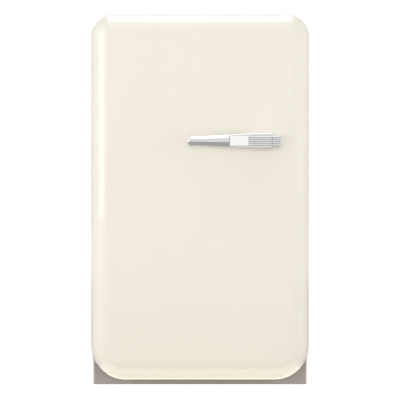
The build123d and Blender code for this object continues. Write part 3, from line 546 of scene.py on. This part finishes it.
def set_camera():
    """Looks straight at the door from its middle height."""
    made = bpy.data.cameras.new("front_camera")
    made.lens = LENS
    made.sensor_width = SENSOR
    camera = bpy.data.objects.new("front_camera", made)
    camera.location = (0.0, -CAMERA_BACK, CAMERA_HEIGHT)
    camera.rotation_euler = (QUARTER_TURN, 0.0, 0.0)
    bpy.context.scene.collection.objects.link(camera)
    bpy.context.scene.camera = camera


def level_by_ray(tree, seen, mirrored, lighting):
    """One level for rays that look straight or through glass, one for gloss, one for the light on things."""
    path = add(tree, "ShaderNodeLightPath")
    looks = add(
        tree, "ShaderNodeMath", {0: path.outputs["Is Camera Ray"], 1: path.outputs["Is Transmission Ray"]},
        operation="ADD", use_clamp=True,
    )
    bounced = add(tree, "ShaderNodeMix", {0: path.outputs["Is Glossy Ray"], 2: lighting, 3: mirrored})
    return add(tree, "ShaderNodeMix", {0: looks.outputs[0], 2: bounced.outputs[0], 3: seen}).outputs[0]


def set_world(seen, mirrored, lighting):
    """An even white surround with its own level for each kind of ray."""
    world = bpy.data.worlds.new("studio")
    world.use_nodes = True
    tree = world.node_tree
    tree.nodes.clear()
    level = level_by_ray(tree, seen, mirrored, lighting)
    surround = add(tree, "ShaderNodeBackground", {"Color": srgb("ffffff"), "Strength": level})
    add(tree, "ShaderNodeOutputWorld", {"Surface": surround.outputs["Background"]})
    bpy.context.scene.world = world


def set_floor(seen, mirrored, lighting):
    """A white studio floor that keeps the shadow on it, and that looks brighter in gloss further off."""
    bpy.ops.object.select_all(action="DESELECT")
    bpy.ops.mesh.primitive_plane_add(size=FLOOR_SIZE, location=(0, 0, 0))
    floor = settle(bpy.context.object, "studio_floor")
    made, tree, where = new_material("white_floor_paint")
    mottle = add(tree, "ShaderNodeTexNoise", {"Vector": where, "Scale": per_metre(500), "Detail": 2.0})
    colour = add(
        tree, "ShaderNodeMix", {0: mottle.outputs["Fac"], FIRST: srgb("bebebe"), SECOND: srgb("c2c2c2")},
        data_type="RGBA",
    )
    lit = add(tree, "ShaderNodeBsdfDiffuse", {"Color": colour.outputs[BLEND]})
    away = add(tree, "ShaderNodeVectorMath", {0: where}, operation="LENGTH")
    far_glow = add(
        tree, "ShaderNodeMapRange",
        {"Value": away.outputs["Value"], 1: GLOW_FROM, 2: GLOW_TO, 3: 0.0, 4: mirrored},
        interpolation_type="SMOOTHSTEP",
    )
    level = level_by_ray(tree, seen, far_glow.outputs["Result"], lighting)
    lift = add(tree, "ShaderNodeEmission", {"Color": srgb("ffffff"), "Strength": level})
    both = add(tree, "ShaderNodeAddShader", {0: lit.outputs["BSDF"], 1: lift.outputs["Emission"]})
    add(tree, "ShaderNodeOutputMaterial", {"Surface": both.outputs["Shader"]})
    floor.data.materials.append(made)


def softbox(name, place_at, look_at, width, height, power, lights=True, mirrors=True, tint="ffffff"):
    """A rectangular softbox in metres and watts, which may be left out of the shading or the reflections."""
    made = bpy.data.lights.new(name, "AREA")
    made.shape = "RECTANGLE"
    made.size = width
    made.size_y = height
    made.energy = power
    made.color = srgb(tint)[:3]
    box = bpy.data.objects.new(name, made)
    box.location = place_at
    box.rotation_euler = (Vector(look_at) - Vector(place_at)).to_track_quat("-Z", "Y").to_euler()
    box.visible_diffuse = lights
    box.visible_glossy = mirrors
    box.visible_camera = False
    bpy.context.scene.collection.objects.link(box)


bpy.context.scene.view_settings.view_transform = "Standard"
set_camera()
set_world(seen=1.0, mirrored=0.8, lighting=0.4)
set_floor(seen=0.9, mirrored=0.75, lighting=0.15)
# Soft light from the front, the sides and above, which does not show in the gloss.
softbox("front_fill", (0.2, -3.3, 0.6), (0.0, -0.2, 0.35), 1.6, 1.0, 31.5, mirrors=False)
softbox("left_fill", (-2.2, -0.9, 0.5), (-0.2, -0.2, 0.35), 1.0, 1.4, 25.0, mirrors=False)
softbox("right_fill", (2.2, -0.9, 0.5), (0.2, -0.2, 0.35), 1.0, 1.4, 17.5, mirrors=False)
softbox("top_fill", (0.2, -0.6, 2.4), (0.0, -0.1, 0.3), 1.6, 1.2, 7.0, mirrors=False)
# Panels that give no light and show only as reflections in the enamel and the chrome.
softbox("left_reflector", (-1.66, -1.23, 0.9), (-0.18, -0.2, 0.9), 1.0, 1.2, 13.0, lights=False)
softbox("top_reflector", (0.0, 0.5, 2.2), (0.0, 0.5, 0.0), 1.2, 2.0, 29.0, lights=False)
softbox("ceiling_reflector", (0.0, -1.5, 2.2), (0.0, -1.5, 0.0), 1.2, 1.8, 4.6, lights=False)
softbox(
    "floor_reflector", (0.0, -0.11, 0.002), (0.0, -0.11, 1.0), 0.46, 0.3, 0.9, lights=False, tint="fff6dc"
)


# ---------------------------------------------------------------------------------------------------------
# Door
# ---------------------------------------------------------------------------------------------------------
DOOR_LOW, DOOR_HIGH = low("door_skin"), high("door_skin")
TOP_RADIUS = 40 * MM
BOTTOM_RADIUS = 63 * MM
EDGE_ROLL = 38 * MM
SHEET = 1.2 * MM  # the thickness of the steel
DOOR_BOW = 2.0 * MM
BOW_STRIPS = 8  # the strips on each side of the middle that take the door's bow
STRIP_WIDTH = 20 * MM
CORNER_STEPS, ROLL_STEPS = 18, 16
BUSH_DEPTH = 15 * MM  # how far a hinge bush runs past its pocket into the door


def rounded_block(name, lowest, highest, bottom_radius, top_radius):
    """A block whose four depth edges are rounded, with its own radius at the bottom and at the top."""
    made = block(name, lowest, highest)
    middle = (lowest.z + highest.z) / 2
    for radius, above in ((bottom_radius, False), (top_radius, True)):
        if radius > 0:
            round_edges(
                made, lambda a, b: abs(a.y - b.y) > NEAR and (a.z > middle) == above, radius, CORNER_STEPS
            )
    return made


def door_panel():
    """The pressed door skin: a bowed face, rolled edges, and a notch at each hinge."""
    panel = rounded_block("door_panel", DOOR_LOW, DOOR_HIGH, BOTTOM_RADIUS, TOP_RADIUS)
    half = DOOR_HIGH.x
    front = DOOR_LOW.y
    pick(panel, "FACE", lambda centre, normal: normal.y > FACING)
    bpy.ops.mesh.delete(type="FACE")
    leave()
    round_edges(panel, lambda a, b: max(a.y, b.y) < front + NEAR, EDGE_ROLL, ROLL_STEPS)
    for strip in range(-BOW_STRIPS, BOW_STRIPS + 1):
        edit_all(panel, "FACE")
        bpy.ops.mesh.bisect(plane_co=(strip * STRIP_WIDTH, 0, 0), plane_no=(1, 0, 0))
        leave()
    for point in panel.data.vertices:
        forward = min(1, max(0, 1 - (point.co.y - front) / EDGE_ROLL))
        point.co.y -= DOOR_BOW * (1 - (point.co.x / half) ** 2) * forward
    refine(panel, "SOLIDIFY", thickness=SHEET, offset=-1)
    top_low, top_high = low("hinge_bush_top"), high("hinge_bush_top")
    bottom_low, bottom_high = low("hinge_bush_bottom"), high("hinge_bush_bottom")
    past = 20 * MM  # how far the cutters reach out of the door
    top_notch = block(
        "top_notch", (DOOR_LOW.x - past, top_low.y, top_low.z + BUSH_DEPTH),
        (top_high.x, top_high.y + past, DOOR_HIGH.z + past),
    )
    bottom_notch = block(
        "bottom_notch", (DOOR_LOW.x - past, bottom_low.y, DOOR_LOW.z - past),
        (bottom_high.x, bottom_high.y + past, bottom_high.z - BUSH_DEPTH),
    )
    cut(panel, [top_notch, bottom_notch])
    smooth(panel, angle=30)
    return panel


place(door_panel(), "door_skin")


# ---------------------------------------------------------------------------------------------------------
# Cabinet shell
# ---------------------------------------------------------------------------------------------------------
SHELL_LOW, SHELL_HIGH = low("cabinet_wrapper"), high("cabinet_wrapper")
FRONT_LIP = 12 * MM
REAR_LIP = 10 * MM
SIDE_HEM = 3 * MM  # what is left of the front lip beside the plinth


def cabinet_shell():
    """The folded cabinet sheet: two sides and a top with rounded corners, turned in at the front and rear."""
    shell = rounded_block("cabinet_shell", SHELL_LOW, SHELL_HIGH, 0, TOP_RADIUS)
    pick(shell, "FACE", lambda centre, normal: normal.z < -FACING)
    bpy.ops.mesh.delete(type="FACE")
    leave()
    for facing, lip in ((-1, FRONT_LIP), (1, REAR_LIP)):
        pick(shell, "FACE", lambda centre, normal: normal.y * facing > FACING)
        bpy.ops.mesh.inset(thickness=lip, use_boundary=False)
        bpy.ops.mesh.delete(type="FACE")
        leave()
    refine(shell, "SOLIDIFY", thickness=SHEET, offset=-1)
    side = SHELL_HIGH.x - SIDE_HEM
    beside_plinth = (-side, SHELL_LOW.y - CUT_PAST, 0), (side, SHELL_LOW.y + CUT_PAST, high("plinth").z)
    cut(shell, [block("plinth_opening", *beside_plinth)])
    soft_edges(shell, 0.5 * MM, angle=40)
    smooth(shell, angle=40)
    return shell


place(cabinet_shell(), "cabinet_wrapper")


# ---------------------------------------------------------------------------------------------------------
# Handle
# ---------------------------------------------------------------------------------------------------------
BODY_LOW, BODY_HIGH = low("handle_body"), high("handle_body")
HANDLE_Z = (BODY_LOW.z + BODY_HIGH.z) / 2
BAR_LOW, BAR_HIGH = low("handle_bar"), high("handle_bar")
CAP_LOW, CAP_HIGH = low("handle_cap"), high("handle_cap")
RIBS_LOW, RIBS_HIGH = low("handle_ribs"), high("handle_ribs")
PAD_LOW, PAD_HIGH = low("handle_pad"), high("handle_pad")
BRACKET_LOW, BRACKET_HIGH = low("handle_bracket"), high("handle_bracket")
BAR_RADIUS = (BAR_HIGH.z - BAR_LOW.z) / 2
TIP_RADIUS = (CAP_HIGH.z - CAP_LOW.z) / 2
BAR_AXIS = BAR_LOW.y + BAR_RADIUS
BODY_LEFT, BODY_MIDDLE = 21.5 * MM, 26 * MM  # the casting's height at its left end and beside the ribs
INLAY_HALF = (PAD_HIGH.z - PAD_LOW.z) / 2
INLAY_DEPTH = 2 * MM
RIB_COUNT = 5
RIB_PITCH = 2 * INLAY_HALF / RIB_COUNT
RIB_HALF = 0.95 * MM
RIB_RISE = 1 * MM
BRACKET_RISE = 1.2 * MM
BRACKET_STRIP = 3.6 * MM  # the plain strip to the right of the bracket's ribs
FRONT_ARC = 1.5  # the radius of the bar's front, against half of the bar's height
BACK_EDGE = 0.8 * MM
CAP_GAP, CAP_TAPER = 0.2 * MM, 1.5 * MM  # how far the cap stands in from the bar's tip, at its two ends
CAP_DOME = 3.2 * MM
CASTING_EDGE = 1.4 * MM
FIELD_GAP, FIELD_CORNER = 0.5 * MM, 3 * MM  # the sunk field beside the pad, and its corners
PAD_CORNER = 2.5 * MM
PLATE_GAP = 0.3 * MM  # from the left end of the ribbed plate to its ribs


def flat_back(obj, depth):
    """Cuts a piece off flat behind a depth, and eases the new edge."""
    edit_all(obj, "FACE")
    bpy.ops.mesh.bisect(plane_co=(0, depth, 0), plane_no=(0, 1, 0), clear_outer=True, use_fill=True)
    leave()
    round_edges(obj, lambda a, b: min(a.y, b.y) > depth - NEAR, BACK_EDGE, segments=2)


def flatten_front(obj):
    """Presses a round piece's front to a shallower arc, which meets the back at an edge above and below."""
    back = BAR_HIGH.y - BAR_AXIS
    edge_share = 1 - FRONT_ARC + sqrt(FRONT_ARC ** 2 - 1)  # where the front's edge lies, against the radius
    for point in obj.data.vertices:
        out, up = BAR_AXIS - point.co.y, point.co.z - HANDLE_Z
        radius = hypot(out, up)
        if out >= 0:
            out = radius * (1 - FRONT_ARC) + sqrt((FRONT_ARC * radius) ** 2 - up ** 2)
        else:
            out += radius * edge_share * max(0, 1 + out / back)
        point.co.y = BAR_AXIS - out


def tapered_bar():
    """The bar that the fingers pull, thin at its free end and cast with a flat back."""
    axis_points = (BAR_LOW.x, BAR_AXIS, HANDLE_Z), (BAR_HIGH.x, BAR_AXIS, HANDLE_Z)
    bar = round_bar("handle_tapered_bar", *axis_points, TIP_RADIUS, BAR_RADIUS)
    flatten_front(bar)
    flat_back(bar, BAR_HIGH.y)
    soft_edges(bar, 0.5 * MM, segments=3)
    smooth(bar)
    return bar


def end_cap():
    """The domed plug in the bar's free end."""
    axis_points = (CAP_HIGH.x, BAR_AXIS, HANDLE_Z), (CAP_LOW.x, BAR_AXIS, HANDLE_Z)
    cap = round_bar("handle_end_cap", *axis_points, TIP_RADIUS - CAP_GAP, TIP_RADIUS - CAP_TAPER)
    round_edges(cap, lambda a, b: max(a.x, b.x) < CAP_LOW.x + NEAR, CAP_DOME, segments=8)
    flatten_front(cap)
    flat_back(cap, BAR_HIGH.y)
    smooth(cap)
    return cap


def widening_body():
    """The casting that widens from the bar to the ribbed end, with a sunk field for the two inlays."""
    body = block("handle_casting", BODY_LOW, (BODY_HIGH.x, BAR_HIGH.y, BODY_HIGH.z))
    edit_all(body, "FACE")
    bpy.ops.mesh.bisect(plane_co=(PAD_HIGH.x, 0, 0), plane_no=(1, 0, 0))
    leave()
    for start, height in ((BODY_LOW.x, BODY_LEFT), (PAD_HIGH.x, BODY_MIDDLE)):
        pick(body, "VERT", lambda point: abs(point.x - start) < NEAR)
        narrow = height / (BODY_HIGH.z - BODY_LOW.z)
        bpy.ops.transform.resize(value=(1, 1, narrow), center_override=(start, 0, HANDLE_Z))
        leave()
    pick(body, "FACE", lambda centre, normal: normal.y > FACING and centre.x > PAD_HIGH.x)
    into_door = BODY_HIGH.y - BAR_HIGH.y
    bpy.ops.mesh.extrude_region_move(TRANSFORM_OT_translate={"value": (0, into_door, 0)})
    leave()
    round_edges(
        body, lambda a, b: abs(a.x - b.x) > NEAR and max(a.y, b.y) < BODY_LOW.y + NEAR,
        CASTING_EDGE, segments=4,
    )
    field = block(
        "inlay_field", (PAD_LOW.x - FIELD_GAP, BODY_LOW.y - CUT_PAST, PAD_LOW.z),
        (BODY_HIGH.x + CUT_PAST, BODY_LOW.y + INLAY_DEPTH, PAD_HIGH.z),
    )
    round_edges(field, lambda a, b: abs(a.y - b.y) > NEAR and a.x < PAD_LOW.x, FIELD_CORNER, segments=6)
    cut(body, [field])
    soft_edges(body, 0.25 * MM)
    smooth(body)
    return body


def inlay_pad():
    """The flat brushed inlay with its rounded left corners."""
    pad = block("handle_inlay_pad", PAD_LOW, PAD_HIGH)
    round_edges(pad, lambda a, b: abs(a.y - b.y) > NEAR and a.x < PAD_LOW.x + NEAR, PAD_CORNER, segments=6)
    soft_edges(pad, 0.4 * MM)
    smooth(pad)
    return pad


def rib_row(name, start, end, face, rise):
    """A row of rounded ribs, cast in one with the piece behind them: thick round bars pressed to an oval."""
    ribs = []
    for number in range(RIB_COUNT):
        height = HANDLE_Z - INLAY_HALF + (number + 0.5) * RIB_PITCH
        rib = round_bar(name, (start, face, height), (end, face, height), 1, 1, sides=16)
        edit_all(rib, "VERT")
        bpy.ops.transform.resize(value=(1, rise, RIB_HALF), center_override=(start, face, height))
        leave()
        ribs.append(rib)
    return join(ribs[0], ribs[1:])


def ribbed_inlay():
    """The ribbed plate beside the pad."""
    face = RIBS_LOW.y + RIB_RISE
    plate = block("handle_ribbed_inlay", (RIBS_LOW.x, face, RIBS_LOW.z), RIBS_HIGH)
    soft_edges(plate, 0.2 * MM)
    join(plate, [rib_row("inlay_rib", RIBS_LOW.x + PLATE_GAP, RIBS_HIGH.x, face, RIB_RISE)])
    smooth(plate)
    return plate


def end_bracket():
    """The narrower ribbed block at the right end of the handle, seated on the door."""
    face = BRACKET_LOW.y + BRACKET_RISE
    bracket = block("handle_end_bracket", (BRACKET_LOW.x, face, BRACKET_LOW.z), BRACKET_HIGH)
    soft_edges(bracket, 0.7 * MM, segments=3)
    ribs_end = BRACKET_HIGH.x - BRACKET_STRIP
    join(bracket, [rib_row("bracket_rib", BRACKET_LOW.x, ribs_end, face, BRACKET_RISE)])
    smooth(bracket)
    return bracket


place(tapered_bar(), "handle_bar")
place(end_cap(), "handle_cap")
place(widening_body(), "handle_body")
place(inlay_pad(), "handle_pad")
place(ribbed_inlay(), "handle_ribs")
place(end_bracket(), "handle_bracket")
place(softened("handle_foot", 1 * MM, segments=3), "handle_foot")


# ---------------------------------------------------------------------------------------------------------
# Door seal
# ---------------------------------------------------------------------------------------------------------
def mitred_frame(name, lowest, highest, profile):
    """A rectangular frame with mitred corners: a closed profile of inset and depth carried round it."""
    half = (highest - lowest) / 2
    middle = (highest + lowest) / 2
    bpy.ops.object.select_all(action="DESELECT")
    bpy.ops.mesh.primitive_plane_add(
        size=2, location=(middle.x, lowest.y, middle.z), rotation=(QUARTER_TURN, 0, 0)
    )
    bpy.context.object.scale = (half.x, half.z, 1)
    made = settle(bpy.context.object, name)
    edit_all(made, "EDGE")
    bpy.ops.mesh.delete(type="ONLY_FACE")
    bpy.ops.mesh.select_all(action="SELECT")
    inset, depth = 0.0, 0.0
    for number, (new_inset, new_depth) in enumerate([*profile, profile[0]]):
        if number > 0:
            bpy.ops.mesh.extrude_edges_move(TRANSFORM_OT_translate={"value": (0, 0, 0)})
        bpy.ops.transform.translate(value=(0, new_depth - depth, 0))
        scale = (half.x - new_inset) / (half.x - inset), 1, (half.z - new_inset) / (half.z - inset)
        bpy.ops.transform.resize(value=scale, center_override=middle)
        inset, depth = new_inset, new_depth
    leave()
    firm_up(made)
    smooth(made)
    return made


# The seal's section: distance in from its outer edge and depth behind the door, in millimetres. A foot clips
# into the inner door, a thin neck folds, and a bulb holds the magnet.
SEAL_SECTION = (
    (1.0, 0.0), (13.0, 0.0), (14.0, 0.8), (14.0, 3.0), (12.6, 4.0), (10.6, 4.4), (10.6, 5.4), (12.6, 6.0),
    (13.0, 6.6), (13.0, 8.8), (12.3, 9.5), (1.7, 9.5), (1.0, 8.8), (1.0, 6.6), (1.4, 6.0), (3.4, 5.4),
    (3.4, 4.4), (1.4, 4.0), (0.0, 3.0), (0.0, 0.8),
)
seal_section = [(inset * MM, depth * MM) for inset, depth in SEAL_SECTION]
place(mitred_frame("door_seal", low("door_gasket"), high("door_gasket"), seal_section), "door_gasket")


# ---------------------------------------------------------------------------------------------------------
# Cooling unit
# ---------------------------------------------------------------------------------------------------------
PIPE_RADIUS = 7.7 * MM
PIPE_SIDES, BEND_STEPS = 24, 8
PIPE_FLAT = 7.4 * MM  # from a pipe's axis to the side of its box
PIPE_BEND = 22 * MM
EXCHANGER_BEND = 18 * MM
COIL_PITCH = 48 * MM
COIL_PASSES = 5
FIRST_DROP = 20 * MM  # from the top of the brackets to the first pass of the coil
INTO_TANK = 3 * MM  # how far the coil and the exchanger's pipe run into the tank
INTO_SIDE = 1 * MM
DOME = 8 * MM
BEAD_RADIUS, BEAD_GAP = 0.8 * MM, 2 * MM  # a weld bead, and how far it lies past the foot of the dome
BOILER_LOW, BOILER_HIGH = low("boiler"), high("boiler")
TANK_LOW, TANK_HIGH = low("absorber_tank"), high("absorber_tank")
FEED_LOW, FEED_HIGH = low("condenser_tube"), high("condenser_tube")
COIL_LOW, COIL_HIGH = low("absorber_coil"), high("absorber_coil")
UNIT_Y = (BOILER_LOW.y + BOILER_HIGH.y) / 2
BOILER_X = (BOILER_LOW.x + BOILER_HIGH.x) / 2
TANK_LEVEL = (TANK_LOW.z + TANK_HIGH.z) / 2
BLOCK_LOW, BLOCK_HIGH = low("evaporator_block"), high("evaporator_block")


def pipe(name, corners, bend):
    """A round pipe along straight runs, bent through a right angle at each corner."""
    runs = [(after - before).normalized() for before, after in zip(corners, corners[1:])]
    bpy.ops.object.select_all(action="DESELECT")
    turned = runs[0].to_track_quat("Z", "Y").to_euler()
    bpy.ops.mesh.primitive_circle_add(
        vertices=PIPE_SIDES, radius=PIPE_RADIUS, fill_type="NGON", location=corners[0], rotation=turned
    )
    made = settle(bpy.context.object, name)
    edit_all(made, "FACE")
    start = corners[0]
    for number, run in enumerate(runs):
        last = number == len(runs) - 1
        end = corners[number + 1] - run * (0 if last else bend)
        bpy.ops.mesh.extrude_region_move(TRANSFORM_OT_translate={"value": end - start})
        if not last:
            turn = runs[number + 1]
            centre = end + turn * bend
            bpy.ops.mesh.spin(steps=BEND_STEPS, angle=-QUARTER_TURN, center=centre, axis=run.cross(turn))
            start = corners[number + 1] + turn * bend
    leave()
    firm_up(made)
    smooth(made)
    return made


def vessel(name, start, end, radius, domes):
    """A welded vessel: domed at its chosen ends, with a weld bead where each dome meets the shell."""
    made = round_bar(name, start, end, radius, radius)
    axis = (Vector(end) - Vector(start)).normalized()
    for place_at in domes:
        level = Vector(place_at).dot(axis)
        round_edges(
            made, lambda a, b: max(abs(a.dot(axis) - level), abs(b.dot(axis) - level)) < NEAR,
            DOME, segments=8,
        )
    beads = []
    for place_at in domes:
        inward = axis if place_at == start else -axis
        bpy.ops.object.select_all(action="DESELECT")
        bpy.ops.mesh.primitive_torus_add(
            major_segments=64, minor_segments=8, major_radius=radius, minor_radius=BEAD_RADIUS,
            location=Vector(place_at) + inward * (DOME + BEAD_GAP),
            rotation=axis.to_track_quat("Z", "Y").to_euler(),
        )
        beads.append(settle(bpy.context.object, "weld_bead"))
    join(made, beads)
    smooth(made)
    return made


def feed_pipe():
    """The vapour pipe: up from the boiler, across through the fins, down, and in to the cold plate."""
    top, level = FEED_HIGH.z - PIPE_FLAT, COIL_HIGH.z - PIPE_FLAT
    left, depth = FEED_LOW.x + PIPE_FLAT, FEED_LOW.y + PIPE_FLAT
    corners = (
        (BOILER_X, UNIT_Y, BOILER_HIGH.z), (BOILER_X, UNIT_Y, top), (left, UNIT_Y, top),
        (left, UNIT_Y, level), (left, depth, level), (BLOCK_LOW.x, depth, level),
    )
    return pipe("condenser_pipe", [Vector(corner) for corner in corners], PIPE_BEND)


def return_coil():
    """The absorber coil: out of the cold plate, then to and fro down the back into the tank."""
    level = COIL_HIGH.z - PIPE_FLAT
    right, depth = COIL_HIGH.x - PIPE_FLAT, COIL_LOW.y + PIPE_FLAT
    first = high("unit_brackets").z - FIRST_DROP
    sides = COIL_LOW.x + PIPE_FLAT, BLOCK_HIGH.x
    corners = [
        (BLOCK_HIGH.x, depth, level), (right, depth, level), (right, UNIT_Y, level), (right, UNIT_Y, first),
    ]
    for number in range(COIL_PASSES):
        height = first - number * COIL_PITCH
        corners.append((sides[number % 2], UNIT_Y, height))
        if number < COIL_PASSES - 1:
            corners.append((sides[number % 2], UNIT_Y, height - COIL_PITCH))
    corners.append((sides[0], UNIT_Y, COIL_LOW.z - INTO_TANK))
    return pipe("absorber_pipe_coil", [Vector(corner) for corner in corners], PIPE_BEND)


def exchanger_pipe():
    """The short pipe from the tank up into the boiler."""
    corners = (
        (TANK_HIGH.x - INTO_SIDE, UNIT_Y, TANK_LEVEL), (BOILER_X, UNIT_Y, TANK_LEVEL),
        (BOILER_X, UNIT_Y, BOILER_LOW.z),
    )
    return pipe("exchanger_pipe", [Vector(corner) for corner in corners], EXCHANGER_BEND)


boiler_ends = (BOILER_X, UNIT_Y, BOILER_LOW.z), (BOILER_X, UNIT_Y, BOILER_HIGH.z)
tank_ends = (TANK_LOW.x, UNIT_Y, TANK_LEVEL), (TANK_HIGH.x, UNIT_Y, TANK_LEVEL)
boiler_radius, tank_radius = (BOILER_HIGH.x - BOILER_LOW.x) / 2, (TANK_HIGH.z - TANK_LOW.z) / 2
place(vessel("boiler_vessel", *boiler_ends, boiler_radius, boiler_ends[1:]), "boiler")
place(vessel("absorber_vessel", *tank_ends, tank_radius, tank_ends), "absorber_tank")
place(feed_pipe(), "condenser_tube")
place(return_coil(), "absorber_coil")
place(exchanger_pipe(), "heat_exchanger_tube")


# ---------------------------------------------------------------------------------------------------------
# Mouldings, sheet pieces and castings: the CAD shapes with the rounded edges that their making gives them
# ---------------------------------------------------------------------------------------------------------
# The radius of each piece's edges in millimetres, and the steps round them.
ROUNDED = {
    "control_housing": (1.5, 3), "drip_gutter": (0.5, 2), "thermostat_knob": (0.6, 3),
    "shelf_trim_lower": (1.0, 3), "shelf_trim_upper": (1.0, 3), "hinge_bush_top": (0.5, 2),
    "hinge_bush_bottom": (0.5, 2), "door_bin_lower": (0.5, 3), "door_bin_middle": (0.5, 3),
    "door_bin_upper": (0.5, 3), "lamp_lens": (0.8, 3), "shelf_glass_lower": (0.8, 3),
    "shelf_glass_upper": (0.8, 3), "plinth": (0.8, 3), "base_pan": (0.4, 2), "rear_panel": (0.3, 2),
    "hinge_plate_top": (0.5, 2), "hinge_plate_bottom": (0.5, 2), "hinge_pins": (0.6, 3),
    "hinge_screws": (0.5, 3), "handle_screws": (0.5, 2), "unit_brackets": (0.3, 2),
    "boiler_clamp": (0.5, 2), "heater_cartridge": (0.5, 3), "evaporator": (0.3, 2),
    "evaporator_block": (1.0, 3), "condenser_fins": (0.15, 2), "terminal_box": (1.5, 3),
    "cord_gland": (0.6, 3), "foot_front_left": (0.5, 3), "foot_front_right": (0.5, 3),
    "feet_rear": (1.0, 3),
}
for node, (edge, steps) in ROUNDED.items():
    place(softened(node, edge * MM, steps), node)
# The formed walls of the two liners keep their facets.
for node in ("door_liner", "cabinet_liner"):
    place(softened(node, 1 * MM, segments=3, merged=False), node)
